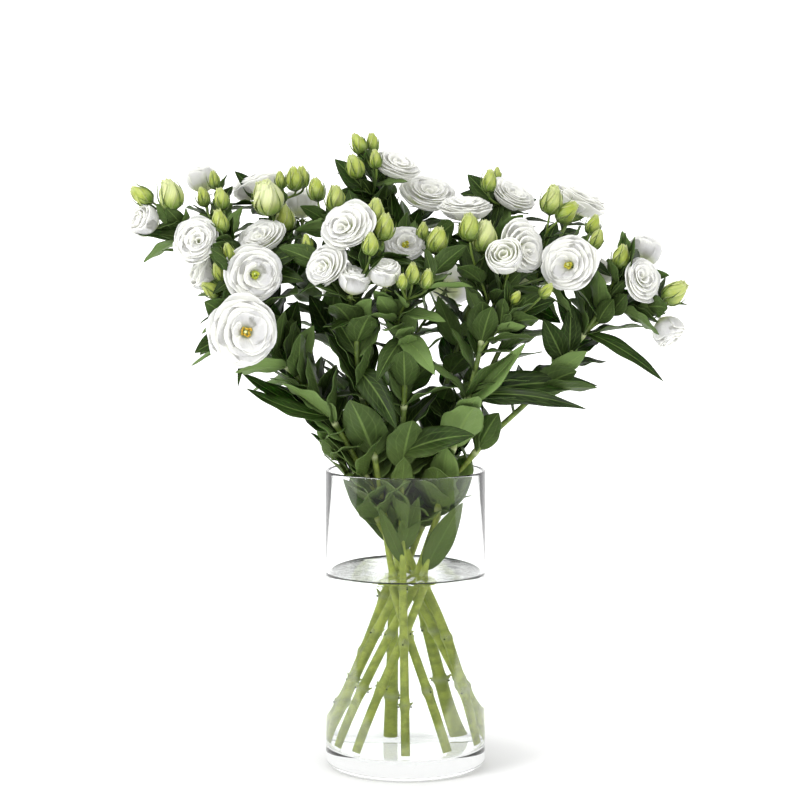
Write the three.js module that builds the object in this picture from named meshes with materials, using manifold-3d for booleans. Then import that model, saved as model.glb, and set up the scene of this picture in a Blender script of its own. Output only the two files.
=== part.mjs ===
// White double lisianthus, eleven cut stems standing in water in a clear glass cylinder vase.
// Millimetres, +Z up, origin at the centre of the face that the vase stands on.
// The viewer of the arrangement stands at -Y.
import * as THREE from 'three';
import { mergeVertices } from 'three/addons/utils/BufferGeometryUtils.js';
import Module from 'manifold-3d';

const wasm = await Module();
wasm.setup();

// ---- driving dimensions ----
const GAP = 0.3;                 // clearance between neighbouring pieces
const VASE_RADIUS = 75;
const VASE_HEIGHT = 278.6;
const VASE_WALL = 3.5;
const VASE_FLOOR = 18;           // thickness of the glass base
const VASE_SIDES = 32;
const WATER_LEVEL = 182;
const STEM_FOOT = 3.5;           // stalk radius at the cut end
const STEM_TOP = 1.7;            // stalk radius under its last bloom
const STALK_STEPS = 8;
const BRANCH_RADIUS = 1.3;       // flower stalk
const TWIG_RADIUS = 1.0;         // bud stalk
const LEAF_THICKNESS = 1.4;      // at the midrib
const LEAF_FOLD = 0.3;           // rise of the two halves from the midrib, radians
const SEPAL_REACH = 0.3;         // length of a bloom's sepals, of its width

// ---- kinds of bloom; every length here is a share of the bloom's width ----
// lift: height of the bloom's middle over its base. outer and inner: a whorl's rim radius and
// height, then the radius and height of the point that its side bends over. floor: the groove
// between the whorls. heart: rings of the folded middle, or of the throat of an open bloom.
const KINDS = {
  open: { lift: 0.22, outer: [0.5, 0.27, 0.38, 0.02], floor: [0.13, 0.06], inner: [0.37, 0.36],
    heart: [[0.08, 0.1], [0, 0.09]] },
  rose: { lift: 0.28, outer: [0.5, 0.33, 0.46, 0.02], floor: [0.2, 0.14], inner: [0.38, 0.46],
    heart: [[0.2, 0.42], [0, 0.36]] },
  cup: { lift: 0.42, outer: [0.42, 0.76, 0.62, 0.24], floor: [0.2, 0.5], inner: [0.28, 0.82],
    heart: [[0.1, 0.72], [0, 0.74]] },
};
const NOTCH = 0.84;              // how far up the side the notch between two petals reaches
const LOBE = 0.4;                // half-angle between a petal's two shoulders, radians

// ---- blooms: middle, the way they face, width, kind ----
const BLOOMS = {
  a: [[-242, 8, 509], [-5, -4, 3], 30, 'cup'],
  b: [[-193, -22, 493], [-3, -8, 3], 42, 'rose'],
  c: [[-133, -14, 497], [-3, -5, 7], 44, 'rose'],
  d: [[-138, -52, 463], [1, -9, 2], 50, 'open'],
  e: [[-146, -78, 411], [-1, -9, 1], 61, 'open'],
  f: [[-186, 10, 461], [-6, -3, 2], 34, 'cup'],
  g: [[-143, 52, 545], [-4, 2, 8], 44, 'rose'],
  h: [[-98, 62, 526], [0, 3, 9], 32, 'cup'],
  i: [[-52, -62, 507], [-3, -8, 5], 46, 'rose'],
  j: [[-72, -66, 471], [-4, -6, 3], 38, 'rose'],
  k: [[-46, -68, 456], [2, -3, 8], 30, 'cup'],
  l: [[-19, -74, 463], [0, -4, 8], 30, 'cup'],
  m: [[-2, -24, 490], [0, -7, 6], 38, 'open'],
  n: [[-7, 30, 564], [3, -4, 8], 43, 'rose'],
  o: [[21, 44, 539], [2, -5, 8], 52, 'rose'],
  p: [[55, 2, 525], [0, -2, 9], 49, 'rose'],
  q: [[102, 36, 536], [4, -4, 7], 43, 'rose'],
  r: [[108, -22, 487], [6, -7, 2], 47, 'rose'],
  s: [[89, -58, 477], [-2, -8, 5], 34, 'cup'],
  t: [[149, -36, 472], [-3, -8, 3], 49, 'open'],
  u: [[167, 66, 533], [4, -1, 8], 55, 'rose'],
  v: [[219, -22, 456], [5, -7, 2], 38, 'rose'],
  w: [[223, 24, 481], [3, 3, 8], 33, 'cup'],
  x: [[243, -4, 408], [4, -3, -7], 32, 'cup'],
  y: [[185, 40, 462], [4, 0, 8], 28, 'cup'],
  z: [[-193, 54, 549], [-2, 2, 9], 29, 'cup'],
  back_1: [[-60, 92, 452], [-3, 8, 5], 42, 'rose'],
  back_2: [[42, 98, 450], [2, 8, 5], 44, 'rose'],
  back_3: [[118, 92, 455], [5, 8, 4], 38, 'cup'],
};

// ---- stems: foot, waist, rim, crown, then blooms (first one ends the stalk) and buds ----
// a bud is [x, y, z of its middle, length] and, where it leans far, the way it points
const STEMS = [
  { foot: [-56, -20, 21], waist: [6, -11, 170], rim: [53, -9, 280], crown: [132, -8, 362],
    blooms: ['v', 'w', 'x', 'y'],
    buds: [[198, -14, 477, 22], [248, -10, 444, 26, [7, -1, 6]]] },
  { foot: [-59, 4, 21], waist: [-5, -2, 170], rim: [40, 14, 280], crown: [88, 38, 385],
    blooms: ['u', 'back_3'],
    buds: [[137, 20, 529, 27], [151, 20, 518, 24, [6, 0, 6]], [175, 14, 506, 19], [177, 0, 493, 19]] },
  { foot: [-48, 30, 21], waist: [-12, 8, 170], rim: [16, 24, 280], crown: [52, 36, 400],
    blooms: ['q'],
    buds: [[78, 16, 547, 20], [87, 60, 554, 14]] },
  { foot: [-8, 55, 21], waist: [-8, 19, 170], rim: [-10, 28, 280], crown: [4, 43, 410],
    blooms: ['n', 'o', 'back_2'],
    buds: [[-44, 30, 582, 20, [-4, 0, 8]], [-31, 36, 583, 18], [-47, 10, 560, 23, [-3, -2, 8]],
      [-28, 12, 567, 17]] },
  { foot: [28, 52, 21], waist: [6, 25, 170], rim: [-28, 34, 280], crown: [-68, 40, 400],
    blooms: ['g', 'h', 'c', 'back_1'],
    buds: [[-127, -6, 531, 33, [-2, -3, 8]], [-117, 30, 548, 16], [-104, 24, 549, 22],
      [-97, 34, 551, 20], [-112, 10, 512, 25]] },
  { foot: [46, 36, 21], waist: [10, 16, 170], rim: [-50, 16, 280], crown: [-118, 15, 392],
    blooms: ['b', 'a', 'z'],
    buds: [[-245, 10, 533, 23, [-8, -1, 5]], [-217, 0, 534, 29, [-2, -1, 8]], [-179, 30, 548, 17]] },
  { foot: [58, 14, 21], waist: [3, 7, 170], rim: [-56, -4, 280], crown: [-104, -12, 380],
    blooms: ['d', 'f'],
    buds: [[-188, 12, 532, 18], [-170, 0, 530, 20], [-170, -20, 509, 22], [-160, -44, 481, 17],
      [-170, -30, 463, 18, [-4, -2, 8]], [-178, -30, 447, 19, [-6, -2, 4]]] },
  { foot: [56, -6, 21], waist: [14, 0, 170], rim: [-40, -26, 280], crown: [-82, -40, 350],
    blooms: ['e'],
    buds: [] },
  { foot: [34, -34, 21], waist: [-9, -22, 170], rim: [-26, -34, 280], crown: [-44, -44, 385],
    blooms: ['i', 'j', 'k'],
    buds: [[-83, 20, 539, 22], [-64, -6, 530, 25], [-28, -40, 517, 25], [-19, -56, 504, 24],
      [-31, -84, 489, 20], [-89, -46, 490, 15]] },
  { foot: [0, -52, 21], waist: [-2, -31, 170], rim: [-4, -38, 280], crown: [0, -46, 385],
    blooms: ['m', 'l', 'p'],
    buds: [[6, -74, 463, 19], [19, -70, 458, 18], [29, -40, 492, 25], [16, -20, 500, 17],
      [-3, -86, 456, 14]] },
  { foot: [-42, -40, 21], waist: [13, -22, 170], rim: [38, -28, 280], crown: [66, -40, 385],
    blooms: ['r', 's', 't'],
    buds: [[58, -36, 504, 25], [72, -30, 495, 29], [127, -56, 447, 16, [4, -3, 5]],
      [99, -60, 441, 14, [3, -3, 5]]] },
];

// ---- large leaves seen plainly: stem, foot, tip, width, the way the upper face looks, arch ----
const LEAVES = [
  [5, [-200, 10, 474], [-248, 0, 497], 15, [0, -6, 6], 0.1],
  [4, [-140, 40, 525], [-160, 30, 556], 17, [4, -8, 2], 0.05],
  [3, [-50, 22, 530], [-66, 20, 567], 22, [2, -9, 2], 0.0],
  [2, [62, 30, 520], [58, 26, 553], 20, [0, -9, 3], 0.0],
  [0, [205, -10, 425], [261, 0, 432], 15, [0, -5, 8], 0.12],
  [0, [184, -10, 391], [238, -14, 362], 18, [-3, -5, 8], 0.12],
  [10, [99, -24, 341], [178, -4, 357], 28, [-1, -8, 4], 0.1],
  [10, [99, -30, 341], [165, -36, 338], 26, [0, -7, -6], 0.12],
  [6, [-84, -14, 326], [-150, -24, 370], 24, [3, -5, 8], -0.06],
  [7, [-80, -40, 322], [-144, -52, 358], 22, [3, -6, 6], -0.12],
  [8, [-47, -52, 373], [-8, -84, 324], 26, [-3, -9, 3], 0.14],
  [9, [12, -58, 296], [62, -78, 318], 29, [-2, -9, 5], 0.1],
  [10, [52, -48, 345], [108, -62, 400], 26, [-5, -8, 5], -0.1],
  [8, [-60, -60, 405], [-30, -78, 440], 20, [2, -9, 2], 0.1],
  [7, [-62, -30, 300], [-92, -34, 345], 10, [-4, -8, 2], 0.0],
  [9, [-6, -54, 400], [-26, -72, 366], 21, [-2, -9, 4], 0.14],
  [9, [0, -56, 405], [26, -76, 372], 22, [2, -9, 3], 0.14],
  [2, [44, 34, 395], [30, 10, 440], 24, [-4, -8, 3], 0.0],
  [1, [100, 38, 408], [120, 12, 455], 26, [-4, -8, 3], 0.0],
  [7, [-147, -66, 402], [-151, -64, 360], 7, [1, -9, 1], 0.0],
  [10, [18, -24, 188], [52, -36, 251], 24, [2, -9, 2], 0.02],
  [9, [-3, -33, 196], [-25, -44, 249], 14, [-3, -8, 2], 0.0],
  [9, [-3, -34, 205], [12, -44, 256], 20, [2, -9, 2], 0.02],
  [6, [-22, 3, 225], [-58, -16, 268], 22, [2, -8, 4], 0.0],
  [5, [-10, 16, 200], [-48, -8, 244], 18, [3, -8, 3], 0.0],
  [0, [35, -10, 237], [62, -18, 272], 22, [-2, -8, 4], 0.0],
];

// ---- leaves placed by rule along the stalks ----
const NODE_FIRST = 212;          // height of the lowest leaf pair
const NODE_STEP = 50;            // distance between pairs, up the stem
const LEAF_LONG = 84;            // length of the lowest leaves
const LEAF_SHORT = 56;           // length of the highest leaves
const LEAF_BRANCH = 45;          // length of the leaves on the flower stalks
const BRANCH_BARE = 55;          // flower stalks shorter than this bear no leaves
const LEAF_SLIM = 0.5;           // width of a leaf, of its length
const CLEAR = 1.6;               // distance that a leaf keeps from everything else
const NECK_TOP = 345;            // up to here the foliage over the vase stays gathered in a cone
const NECK_SLOPE = 0.55;         // growth of that cone's radius with height
const CROWDED = 8;               // a leaf that would touch more than this is left off

// ---- vectors as arrays of three numbers ----
const add = (a, b) => [a[0] + b[0], a[1] + b[1], a[2] + b[2]];
const sub = (a, b) => [a[0] - b[0], a[1] - b[1], a[2] - b[2]];
const mul = (a, k) => [a[0] * k, a[1] * k, a[2] * k];
const dot = (a, b) => a[0] * b[0] + a[1] * b[1] + a[2] * b[2];
const cross = (a, b) => [a[1] * b[2] - a[2] * b[1], a[2] * b[0] - a[0] * b[2], a[0] * b[1] - a[1] * b[0]];
const size = (a) => Math.sqrt(dot(a, a));
const unit = (a) => mul(a, 1 / size(a));
const along = (a, d, k) => add(a, mul(d, k));

// Even draw between 0 and 1, always the same for one seed.
function random(seed) {
  let state = (seed * 7919 + 12345) % 2147483647;
  const next = () => {
    state = (state * 16807) % 2147483647;
    return state / 2147483647;
  };
  next();
  next();
  return next;
}

// Two directions square to d and to each other.
function basis(d) {
  const e = unit(cross(d, Math.abs(d[2]) > 0.9 ? [1, 0, 0] : [0, 0, 1]));
  return [e, cross(d, e)];
}

// Points at equal steps along a smooth three.js curve.
function sample(curve, steps) {
  return Array.from({ length: steps + 1 }, (_, k) => curve.getPoint(k / steps).toArray());
}
const vector = (p) => new THREE.Vector3(...p);
const smooth = (points) => new THREE.CatmullRomCurve3(points.map(vector), false, 'catmullrom', 0.5);
const bend = (a, b, c, d) => new THREE.CubicBezierCurve3(vector(a), vector(b), vector(c), vector(d));

// Directions along a row of points.
function tangents(points) {
  return points.map((_, k) => unit(sub(points[Math.min(k + 1, points.length - 1)],
    points[Math.max(k - 1, 0)])));
}

// ---- layout: where every stalk, branch and leaf runs ----
function bloomOf(name) {
  const [middle, face, width, kind] = BLOOMS[name];
  const f = unit(face);
  const [e1, e2] = basis(f);
  const base = along(middle, f, -KINDS[kind].lift * width);
  return { name, middle, f, e1, e2, width, kind, base };
}

function budOf([x, y, z, length, face], crown) {
  const middle = [x, y, z];
  const f = unit(face ?? add(unit(sub(middle, crown)), [0, 0, 0.9]));
  const [e1, e2] = basis(f);
  return { middle, f, e1, e2, length, base: along(middle, f, -length / 2) };
}

// The point of the stem where a flower stalk leaves it: near, below, and not at a sharp turn.
function fork(skeleton, target) {
  let best = null;
  let least = Infinity;
  for (const q of skeleton) {
    const way = sub(target, q.p);
    const far = size(way);
    if (far < 16 || q.p[2] > target[2] - 8) continue;
    const turn = Math.acos(Math.min(1, Math.max(-1, dot(q.t, mul(way, 1 / far)))));
    const cost = Math.round((far + 90 * Math.max(0, turn - 0.6)) * 1000) / 1000;
    if (cost < least) {
      least = cost;
      best = q;
    }
  }
  return best ?? skeleton[Math.floor(skeleton.length / 2)];
}

// One stem: its stalk, then a branch to each further bloom and bud, grown in the listed order.
function growStem(spec) {
  const blooms = spec.blooms.map(bloomOf);
  const buds = spec.buds.map((b) => budOf(b, spec.crown));
  const last = blooms[0];
  const end = along(last.base, last.f, -0.03 * last.width - 1.5);
  const stalk = smooth([spec.foot, spec.waist, spec.rim, spec.crown, along(end, last.f, -24), end]);
  const points = sample(stalk, 150);
  const ways = tangents(points);
  const skeleton = [];
  points.forEach((p, k) => {
    if (p[2] > 300) skeleton.push({ p, t: ways[k] });
  });
  const branches = [];
  const heads = [...blooms.slice(1).map((b) => [b, -0.03 * b.width - 1.5, BRANCH_RADIUS]),
    ...buds.map((b) => [b, 0, TWIG_RADIUS])];
  for (const [head, back, radius] of heads) {
    const tip = along(head.base, head.f, back);
    const q = fork(skeleton, tip);
    const far = size(sub(tip, q.p));
    const curve = bend(q.p, along(q.p, q.t, 0.35 * far), along(tip, head.f, -0.35 * far), tip);
    const line = sample(curve, 20);
    tangents(line).forEach((t, k) => {
      if (k > 2 && k < 17) skeleton.push({ p: line[k], t });
    });
    branches.push({ curve, line, radius, long: far, head });
  }
  return { spec, stalk, points, ways, branches, blooms, buds };
}

// Leaf blade: runs from a to c bending towards b; n is the way its upper face looks.
function leafBy(base, way, length, width, up, droop) {
  const b = along(base, way, 0.5 * length);
  const c = add(base, mul(add(mul(way, 1 - 0.25 * droop), [0, 0, -0.6 * droop]), length));
  return { a: base, b, c, width, n: up };
}

function leafAt(leaf, s) {
  const { a, b, c } = leaf;
  const p = add(add(mul(a, (1 - s) * (1 - s)), mul(b, 2 * s * (1 - s))), mul(c, s * s));
  const t = unit(add(mul(sub(b, a), 1 - s), mul(sub(c, b), s)));
  const u = unit(cross(t, leaf.n));
  const n = cross(u, t);
  const half = leaf.width / 2 * Math.pow(Math.sin(Math.PI * Math.pow(s, 0.72)), 0.85);
  return { p, t, u, n, half: s < 0.5 ? Math.max(half, 1.5) : half };
}

// Points of a leaf that must stay clear: along the midrib, near both edges and at the tip.
function leafProbe(leaf) {
  const points = [leaf.c];
  for (const s of [0.25, 0.42, 0.6, 0.78]) {
    const { p, u, half } = leafAt(leaf, s);
    for (const k of [-0.9, 0, 0.9]) points.push(along(p, u, k * half));
  }
  return points;
}

function crowding(leaf, things, owner) {
  let sum = 0;
  for (const p of leafProbe(leaf)) {
    for (const o of things) {
      const reach = o.r + CLEAR;
      if (Math.abs(p[0] - o.p[0]) > reach || Math.abs(p[2] - o.p[2]) > reach) continue;
      if (o.owner === owner && size(sub(o.p, leaf.a)) < 9) continue;
      sum += Math.max(0, reach - size(sub(p, o.p)));
    }
    const wide = Math.hypot(p[0], p[1]) - VASE_RADIUS;
    const over = p[2] - VASE_HEIGHT;
    if (over < 5) sum += 3 * Math.max(0, wide + 8);
    else if (p[2] < NECK_TOP) sum += Math.max(0, wide + 5 - NECK_SLOPE * over);
    sum += 2 * Math.max(0, WATER_LEVEL + 8 - p[2]);
  }
  return Math.round(sum * 1000) / 1000;
}

function remember(leaf, things) {
  for (const s of [0.2, 0.4, 0.6, 0.8, 1]) {
    const { p, u, half } = leafAt(leaf, s);
    for (const k of s < 0.9 ? [-0.6, 0, 0.6] : [0]) {
      things.push({ p: along(p, u, k * half), r: Math.max(0.3 * half, 1), owner: -1 });
    }
  }
}

// Of several turns and tilts, the leaf that crowds its neighbours least.
function clearest(base, t, side, length, width, tilt, droop, things, owner) {
  const other = cross(t, side);
  let best = null;
  let least = CROWDED;
  for (const turn of [0, 0.45, -0.45, 0.9, -0.9]) {
    const out = add(mul(side, Math.cos(turn)), mul(other, Math.sin(turn)));
    for (const lean of [0, 0.35, -0.3, -0.55]) {
      const angle = tilt + lean;
      const way = add(mul(out, Math.sin(angle)), mul(t, Math.cos(angle)));
      const up = unit(add(add(mul(t, Math.sin(angle)), mul(out, -Math.cos(angle))), [0, 0, 0.3]));
      const leaf = leafBy(base, way, length, width, up, droop);
      const sum = crowding(leaf, things, owner);
      if (sum < least) {
        least = sum;
        best = leaf;
      }
    }
  }
  return best;
}

function growAll() {
  const stems = STEMS.map(growStem);
  const things = [];
  stems.forEach((stem, owner) => {
    stem.leaves = [];
    for (const p of stem.points) things.push({ p, r: 2.6, owner });
    for (const b of stem.branches) for (const p of b.line) things.push({ p, r: 1.6, owner });
    for (const b of stem.blooms) things.push({ p: b.middle, r: 0.45 * b.width, owner: -1 });
    for (const b of stem.buds) things.push({ p: b.middle, r: 0.62 * budWidth(b.length), owner: -1 });
  });
  for (const [index, foot, tip, width, up, arch] of LEAVES) {
    const stem = stems[index];
    const lines = [stem.points, ...stem.branches.map((b) => b.line)].flat();
    const a = lines.reduce((m, p) => (size(sub(p, foot)) < size(sub(m, foot)) ? p : m));
    const b = add(mul(add(a, tip), 0.5), [0, 0, arch * size(sub(tip, a))]);
    const leaf = { a, b, c: tip, width, n: unit(up) };
    stem.leaves.push(leaf);
    remember(leaf, things);
  }
  stems.forEach((stem, index) => {
    const draw = random(index + 1);
    let next = NODE_FIRST + 30 * draw();
    let turn = 3 * draw();
    stem.points.forEach((p, k) => {
      if (p[2] < next || k > 130) return;
      next = p[2] + NODE_STEP * (0.9 + 0.3 * draw());
      const t = stem.ways[k];
      const [e1, e2] = basis(t);
      const high = Math.min(1, (p[2] - NODE_FIRST) / 280);
      for (const way of [1, -1]) {
        const side = add(mul(e1, way * Math.cos(turn)), mul(e2, way * Math.sin(turn)));
        const length = (LEAF_LONG + (LEAF_SHORT - LEAF_LONG) * high) * (0.85 + 0.3 * draw());
        const leaf = clearest(p, t, side, length, length * LEAF_SLIM, 0.75 + 0.3 * draw(),
          0.15 + 0.3 * draw(), things, index);
        if (leaf) {
          stem.leaves.push(leaf);
          remember(leaf, things);
        }
      }
      turn += 1.45;
    });
    for (const branch of stem.branches) {
      if (branch.long < BRANCH_BARE) continue;
      const places = branch.long < 2 * BRANCH_BARE ? [10] : [7, 13];
      for (const k of places) {
        const t = tangents(branch.line)[k];
        const [e1, e2] = basis(t);
        const angle = 3 * draw();
        for (const way of [1, -1]) {
          const side = add(mul(e1, way * Math.cos(angle)), mul(e2, way * Math.sin(angle)));
          const length = LEAF_BRANCH * (0.9 + 0.25 * draw());
          const leaf = clearest(branch.line[k], t, side, length, length * LEAF_SLIM, 0.7, 0.25,
            things, index);
          if (leaf) {
            stem.leaves.push(leaf);
            remember(leaf, things);
          }
        }
      }
    }
  });
  return stems;
}

// ---- solids ----
// Every raw shape is { v: points, t: triangles }; orientation is set by its volume's sign.
function solid(v, t) {
  let volume = 0;
  for (const [a, b, c] of t) volume += dot(v[a], cross(v[b], v[c]));
  const tri = volume < 0 ? t.map(([a, b, c]) => [a, c, b]) : t;
  return new wasm.Manifold(new wasm.Mesh({
    numProp: 3, vertProperties: new Float32Array(v.flat()), triVerts: new Uint32Array(tri.flat()),
  }));
}

function fromGeometry(geometry) {
  geometry.deleteAttribute('normal');
  geometry.deleteAttribute('uv');
  const merged = mergeVertices(geometry, 1e-4);
  return new wasm.Manifold(new wasm.Mesh({
    numProp: 3,
    vertProperties: new Float32Array(merged.attributes.position.array),
    triVerts: new Uint32Array(merged.index.array),
  }));
}

// A thin blade: rows of one or three { p, n } points, left, middle and right. The two faces meet
// along the outline, and the middle of every inner row is half thick each way along n.
function blade(rows, half) {
  const v = [];
  const put = (p) => v.push(p) - 1;
  const t = [];
  const last = rows.length - 1;
  const outline = rows.map((row) => row.map(({ p }) => put(p)));
  for (const way of [1, -1]) {
    const ids = outline.map((row, k) => (row.length === 1 || k === last ? row
      : [row[0], put(along(rows[k][1].p, rows[k][1].n, way * half)), row[2]]));
    for (let k = 1; k <= last; k += 1) {
      const [a, b, c] = ids[k - 1];
      const [d, e, f] = ids[k];
      let list = [[a, d, b], [b, d, e], [b, e, f], [b, f, c]];
      if (b === undefined) list = [[a, d, e], [a, e, f]];
      if (e === undefined) list = [[a, d, b], [b, d, c]];
      for (const [x, y, z] of list) t.push(way > 0 ? [x, y, z] : [x, z, y]);
    }
  }
  const used = [...new Set(t.flat())];
  return solid(used.map((k) => v[k]), t.map((tri) => tri.map((k) => used.indexOf(k))));
}

// A closed skin over rings of points. A ring of one point is a tip, and a ring may have two or
// three times the points of the one before or after it.
function loft(rings) {
  const v = [];
  const t = [];
  const ids = rings.map((points) => points.map((p) => v.push(p) - 1));
  for (let k = 1; k < ids.length; k += 1) {
    const flip = ids[k].length < ids[k - 1].length;
    const [few, many] = flip ? [ids[k], ids[k - 1]] : [ids[k - 1], ids[k]];
    const n = few.length;
    const m = many.length;
    const list = [];
    for (let i = 0; i < m; i += 1) {
      const nearest = Math.floor((i * n) / m + (n > 1 && m > n ? 0.5 : 0)) % n;
      list.push([few[nearest], many[(i + 1) % m], many[i]]);
      const next = Math.floor(((i + 1) * n) / m + (n > 1 && m > n ? 0.5 : 0)) % n;
      if (next !== nearest) list.push([few[nearest], few[next], many[(i + 1) % m]]);
    }
    for (const [x, y, z] of list) t.push(flip ? [x, z, y] : [x, y, z]);
  }
  for (const [end, flip] of [[ids[0], false], [ids[ids.length - 1], true]]) {
    for (let i = 2; i < end.length; i += 1) {
      t.push(flip ? [end[0], end[i - 1], end[i]] : [end[0], end[i], end[i - 1]]);
    }
  }
  return solid(v, t);
}

// Ring of points round p, square to the two directions.
function ring(p, e1, e2, radius, sides, turn = 0) {
  return Array.from({ length: sides }, (_, k) => {
    const a = turn + 2 * Math.PI * k / sides;
    return along(along(p, e1, radius * Math.cos(a)), e2, radius * Math.sin(a));
  });
}

// Five-sided rings of a round stalk along a row of points, its radius running evenly.
function stalkRings(points, first, last) {
  const ways = tangents(points);
  let [e1] = basis(ways[0]);
  return points.map((p, k) => {
    e1 = unit(along(e1, ways[k], -dot(e1, ways[k])));
    return ring(p, e1, cross(ways[k], e1), first + (last - first) * k / (points.length - 1), 5);
  });
}

// The same five directions as the last ring of a stalk, turned to the way that its head faces.
function headBasis(rings, head) {
  const end = rings[rings.length - 1];
  const centre = mul(end.reduce(add), 0.2);
  const e1 = unit(along(sub(end[0], centre), head.f, -dot(sub(end[0], centre), head.f)));
  return [e1, cross(head.f, e1)];
}

// Ovate leaf, folded a little along its midrib, its foot a point inside the stalk.
function leafSolid(leaf, grow) {
  const stations = size(sub(leaf.c, leaf.a)) < 56 ? [0, 0.42, 1] : [0, 0.3, 0.64, 1];
  const rows = stations.map((s) => {
    const { p, t, u, n, half } = leafAt(leaf, s);
    if (s === 0) return [{ p, n }];
    if (s === 1) return [{ p: along(p, t, grow), n }];
    const w = half + grow;
    const edge = (way) => ({
      p: along(along(p, u, way * w * Math.cos(LEAF_FOLD)), n, w * Math.sin(LEAF_FOLD)), n,
    });
    return [edge(-1), { p, n }, edge(1)];
  });
  return blade(rows, LEAF_THICKNESS / 2 + grow);
}

// Side of the outer whorl: radius and height over the bloom's base, bending over its belly.
function sideOf([rim, top, belly, low], s) {
  const k = [(1 - s) * (1 - s), 2 * s * (1 - s), s * s];
  return [0.045 * k[0] + belly * k[1] + rim * k[2], -0.03 * k[0] + low * k[1] + top * k[2]];
}

// Double bloom as one folded skin: out along the outer whorl, over its five rounded petals, down
// into the groove, up to the five inner petals between them, and down into the heart.
function bloomSolid(bloom, grow) {
  const { base, f, e1, e2, width: w, kind } = bloom;
  const { outer, floor, inner, heart } = KINDS[kind];
  const at = ([r, h], a, lift = grow) => {
    const radius = r * w + (r > 0 ? grow : 0);
    const level = along(base, f, h * w + lift);
    return along(along(level, e1, radius * Math.cos(a)), e2, radius * Math.sin(a));
  };
  const turn = (k, n) => 2 * Math.PI * k / n;
  const round = (p, n, lift) => Array.from({ length: n }, (_, k) => at(p, turn(k, n), lift));
  const petals = Array.from({ length: 15 }, (_, k) => {
    const side = [0, 1, -1][k % 3];
    const a = turn(Math.floor((k + 1) / 3), 5);
    if (!side) return at(sideOf(outer, NOTCH), a);
    return at(sideOf(outer, 1), turn(Math.floor(k / 3) + 0.5, 5) - side * LOBE);
  });
  const crown = Array.from({ length: 10 }, (_, k) => at(
    k % 2 ? [inner[0] * 0.92, inner[1] * 0.84] : inner, turn(k, 10)));
  return loft([round([0.045, -0.03], 5, -grow), round(sideOf(outer, 0.5), 5, -grow), petals,
    round(floor, 5), crown,
    ...heart.map((p) => (p[0] ? round(p, 5) : [at(p, 0)]))]);
}

// Ring of ten points for a calyx: five sepal tips and the five notches between them.
function sepals(base, f, e1, e2, tip, notch) {
  return Array.from({ length: 10 }, (_, k) => {
    const [r, h] = k % 2 ? notch : tip;
    const a = Math.PI * k / 5;
    return along(along(along(base, f, h), e1, r * Math.cos(a)), e2, r * Math.sin(a));
  });
}

// Rings that end a stalk under a bloom: a green cup drawn out into five narrow sepals.
function calyxRings(bloom, [e1, e2], grow) {
  const { base, f, width: w } = bloom;
  const top = -0.03 * w - GAP;
  return [ring(along(base, f, top - 4), e1, e2, 1.7 + grow, 5),
    sepals(base, f, e1, e2, [SEPAL_REACH * w + 2 * grow, top - 2], [2.6 + grow, top - 1.3]),
    [along(base, f, top + 0.8 * grow)]];
}

// Young buds are slender, and those about to open are as fat as they are blunt.
const budWidth = (l) => 0.016 * l * l + 0.16 * l + 2;

// Rings that end a stalk with a spirally folded bud in its five pointed sepals.
function budRings(bud, [e1, e2], grow) {
  const { base, f, length: l } = bud;
  const w = budWidth(l);
  const turned = (u, r) => ring(along(base, f, u * l), e1, e2, r * w + grow, 5);
  const tip = [along(base, f, l + grow)];
  if (l < 20) return [turned(0.02, 0.3), turned(0.36, 0.56), turned(0.76, 0.42), tip];
  return [turned(0.02, 0.3),
    sepals(base, f, e1, e2, [0.64 * w + grow, 0.66 * l], [0.58 * w + grow, 0.3 * l]),
    turned(0.78, 0.42), tip];
}

// Stalk, branches, buds and calyces of a stem, without its leaves.
function woodSolid(stem, grow) {
  const rings = stalkRings(sample(stem.stalk, STALK_STEPS), STEM_FOOT + grow, STEM_TOP + grow);
  rings.pop();
  let body = loft([...rings, ...calyxRings(stem.blooms[0], headBasis(rings, stem.blooms[0]), grow)]);
  for (const { curve, radius, head, long } of stem.branches) {
    const r = radius + grow;
    const line = stalkRings(sample(curve, 'width' in head && long > 50 ? 3 : 2), r * 1.15, r);
    line.pop();
    const turned = headBasis(line, head);
    const end = 'width' in head ? calyxRings(head, turned, grow) : budRings(head, turned, grow);
    body = body.add(loft([...line, ...end]));
  }
  return body;
}

// Stamens round a short pistil in the throat of an open bloom.
function centreSolid(bloom) {
  const { base, f, e1, e2, width: w } = bloom;
  const low = 0.1 * w + GAP;
  const at = (h, r) => ring(along(base, f, h), e1, e2, r, 5);
  let body = loft([at(low, 1.9), at(0.24 * w, 1), at(0.29 * w, 2), [along(base, f, 0.31 * w)]]);
  for (let k = 0; k < 5; k += 1) {
    const a = 2 * Math.PI * (k + 0.5) / 5;
    const radial = add(mul(e1, Math.cos(a)), mul(e2, Math.sin(a)));
    const foot = along(along(base, radial, 0.7), f, low + 0.7);
    const knob = along(along(base, radial, 0.1 * w), f, 0.22 * w);
    body = body.add(loft([[foot], ring(knob, e1, e2, 1.3, 3, a), [along(knob, f, 0.05 * w)]]));
  }
  return body;
}

function turned(points) {
  return fromGeometry(new THREE.LatheGeometry(points.map(([r, z]) => new THREE.Vector2(r, z)),
    VASE_SIDES).rotateX(Math.PI / 2));
}

// Glass cylinder with a thick base; the edges of base, floor and rim are rounded.
function vaseSolid() {
  const inner = VASE_RADIUS - VASE_WALL;
  return turned([[0, 0], [VASE_RADIUS - 7, 0], [VASE_RADIUS - 2, 2], [VASE_RADIUS, 7],
    [VASE_RADIUS, VASE_HEIGHT - 1.2], [VASE_RADIUS - VASE_WALL / 2, VASE_HEIGHT],
    [inner, VASE_HEIGHT - 1.2], [inner, VASE_FLOOR + 6], [inner - 5, VASE_FLOOR], [0, VASE_FLOOR]]);
}

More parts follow.
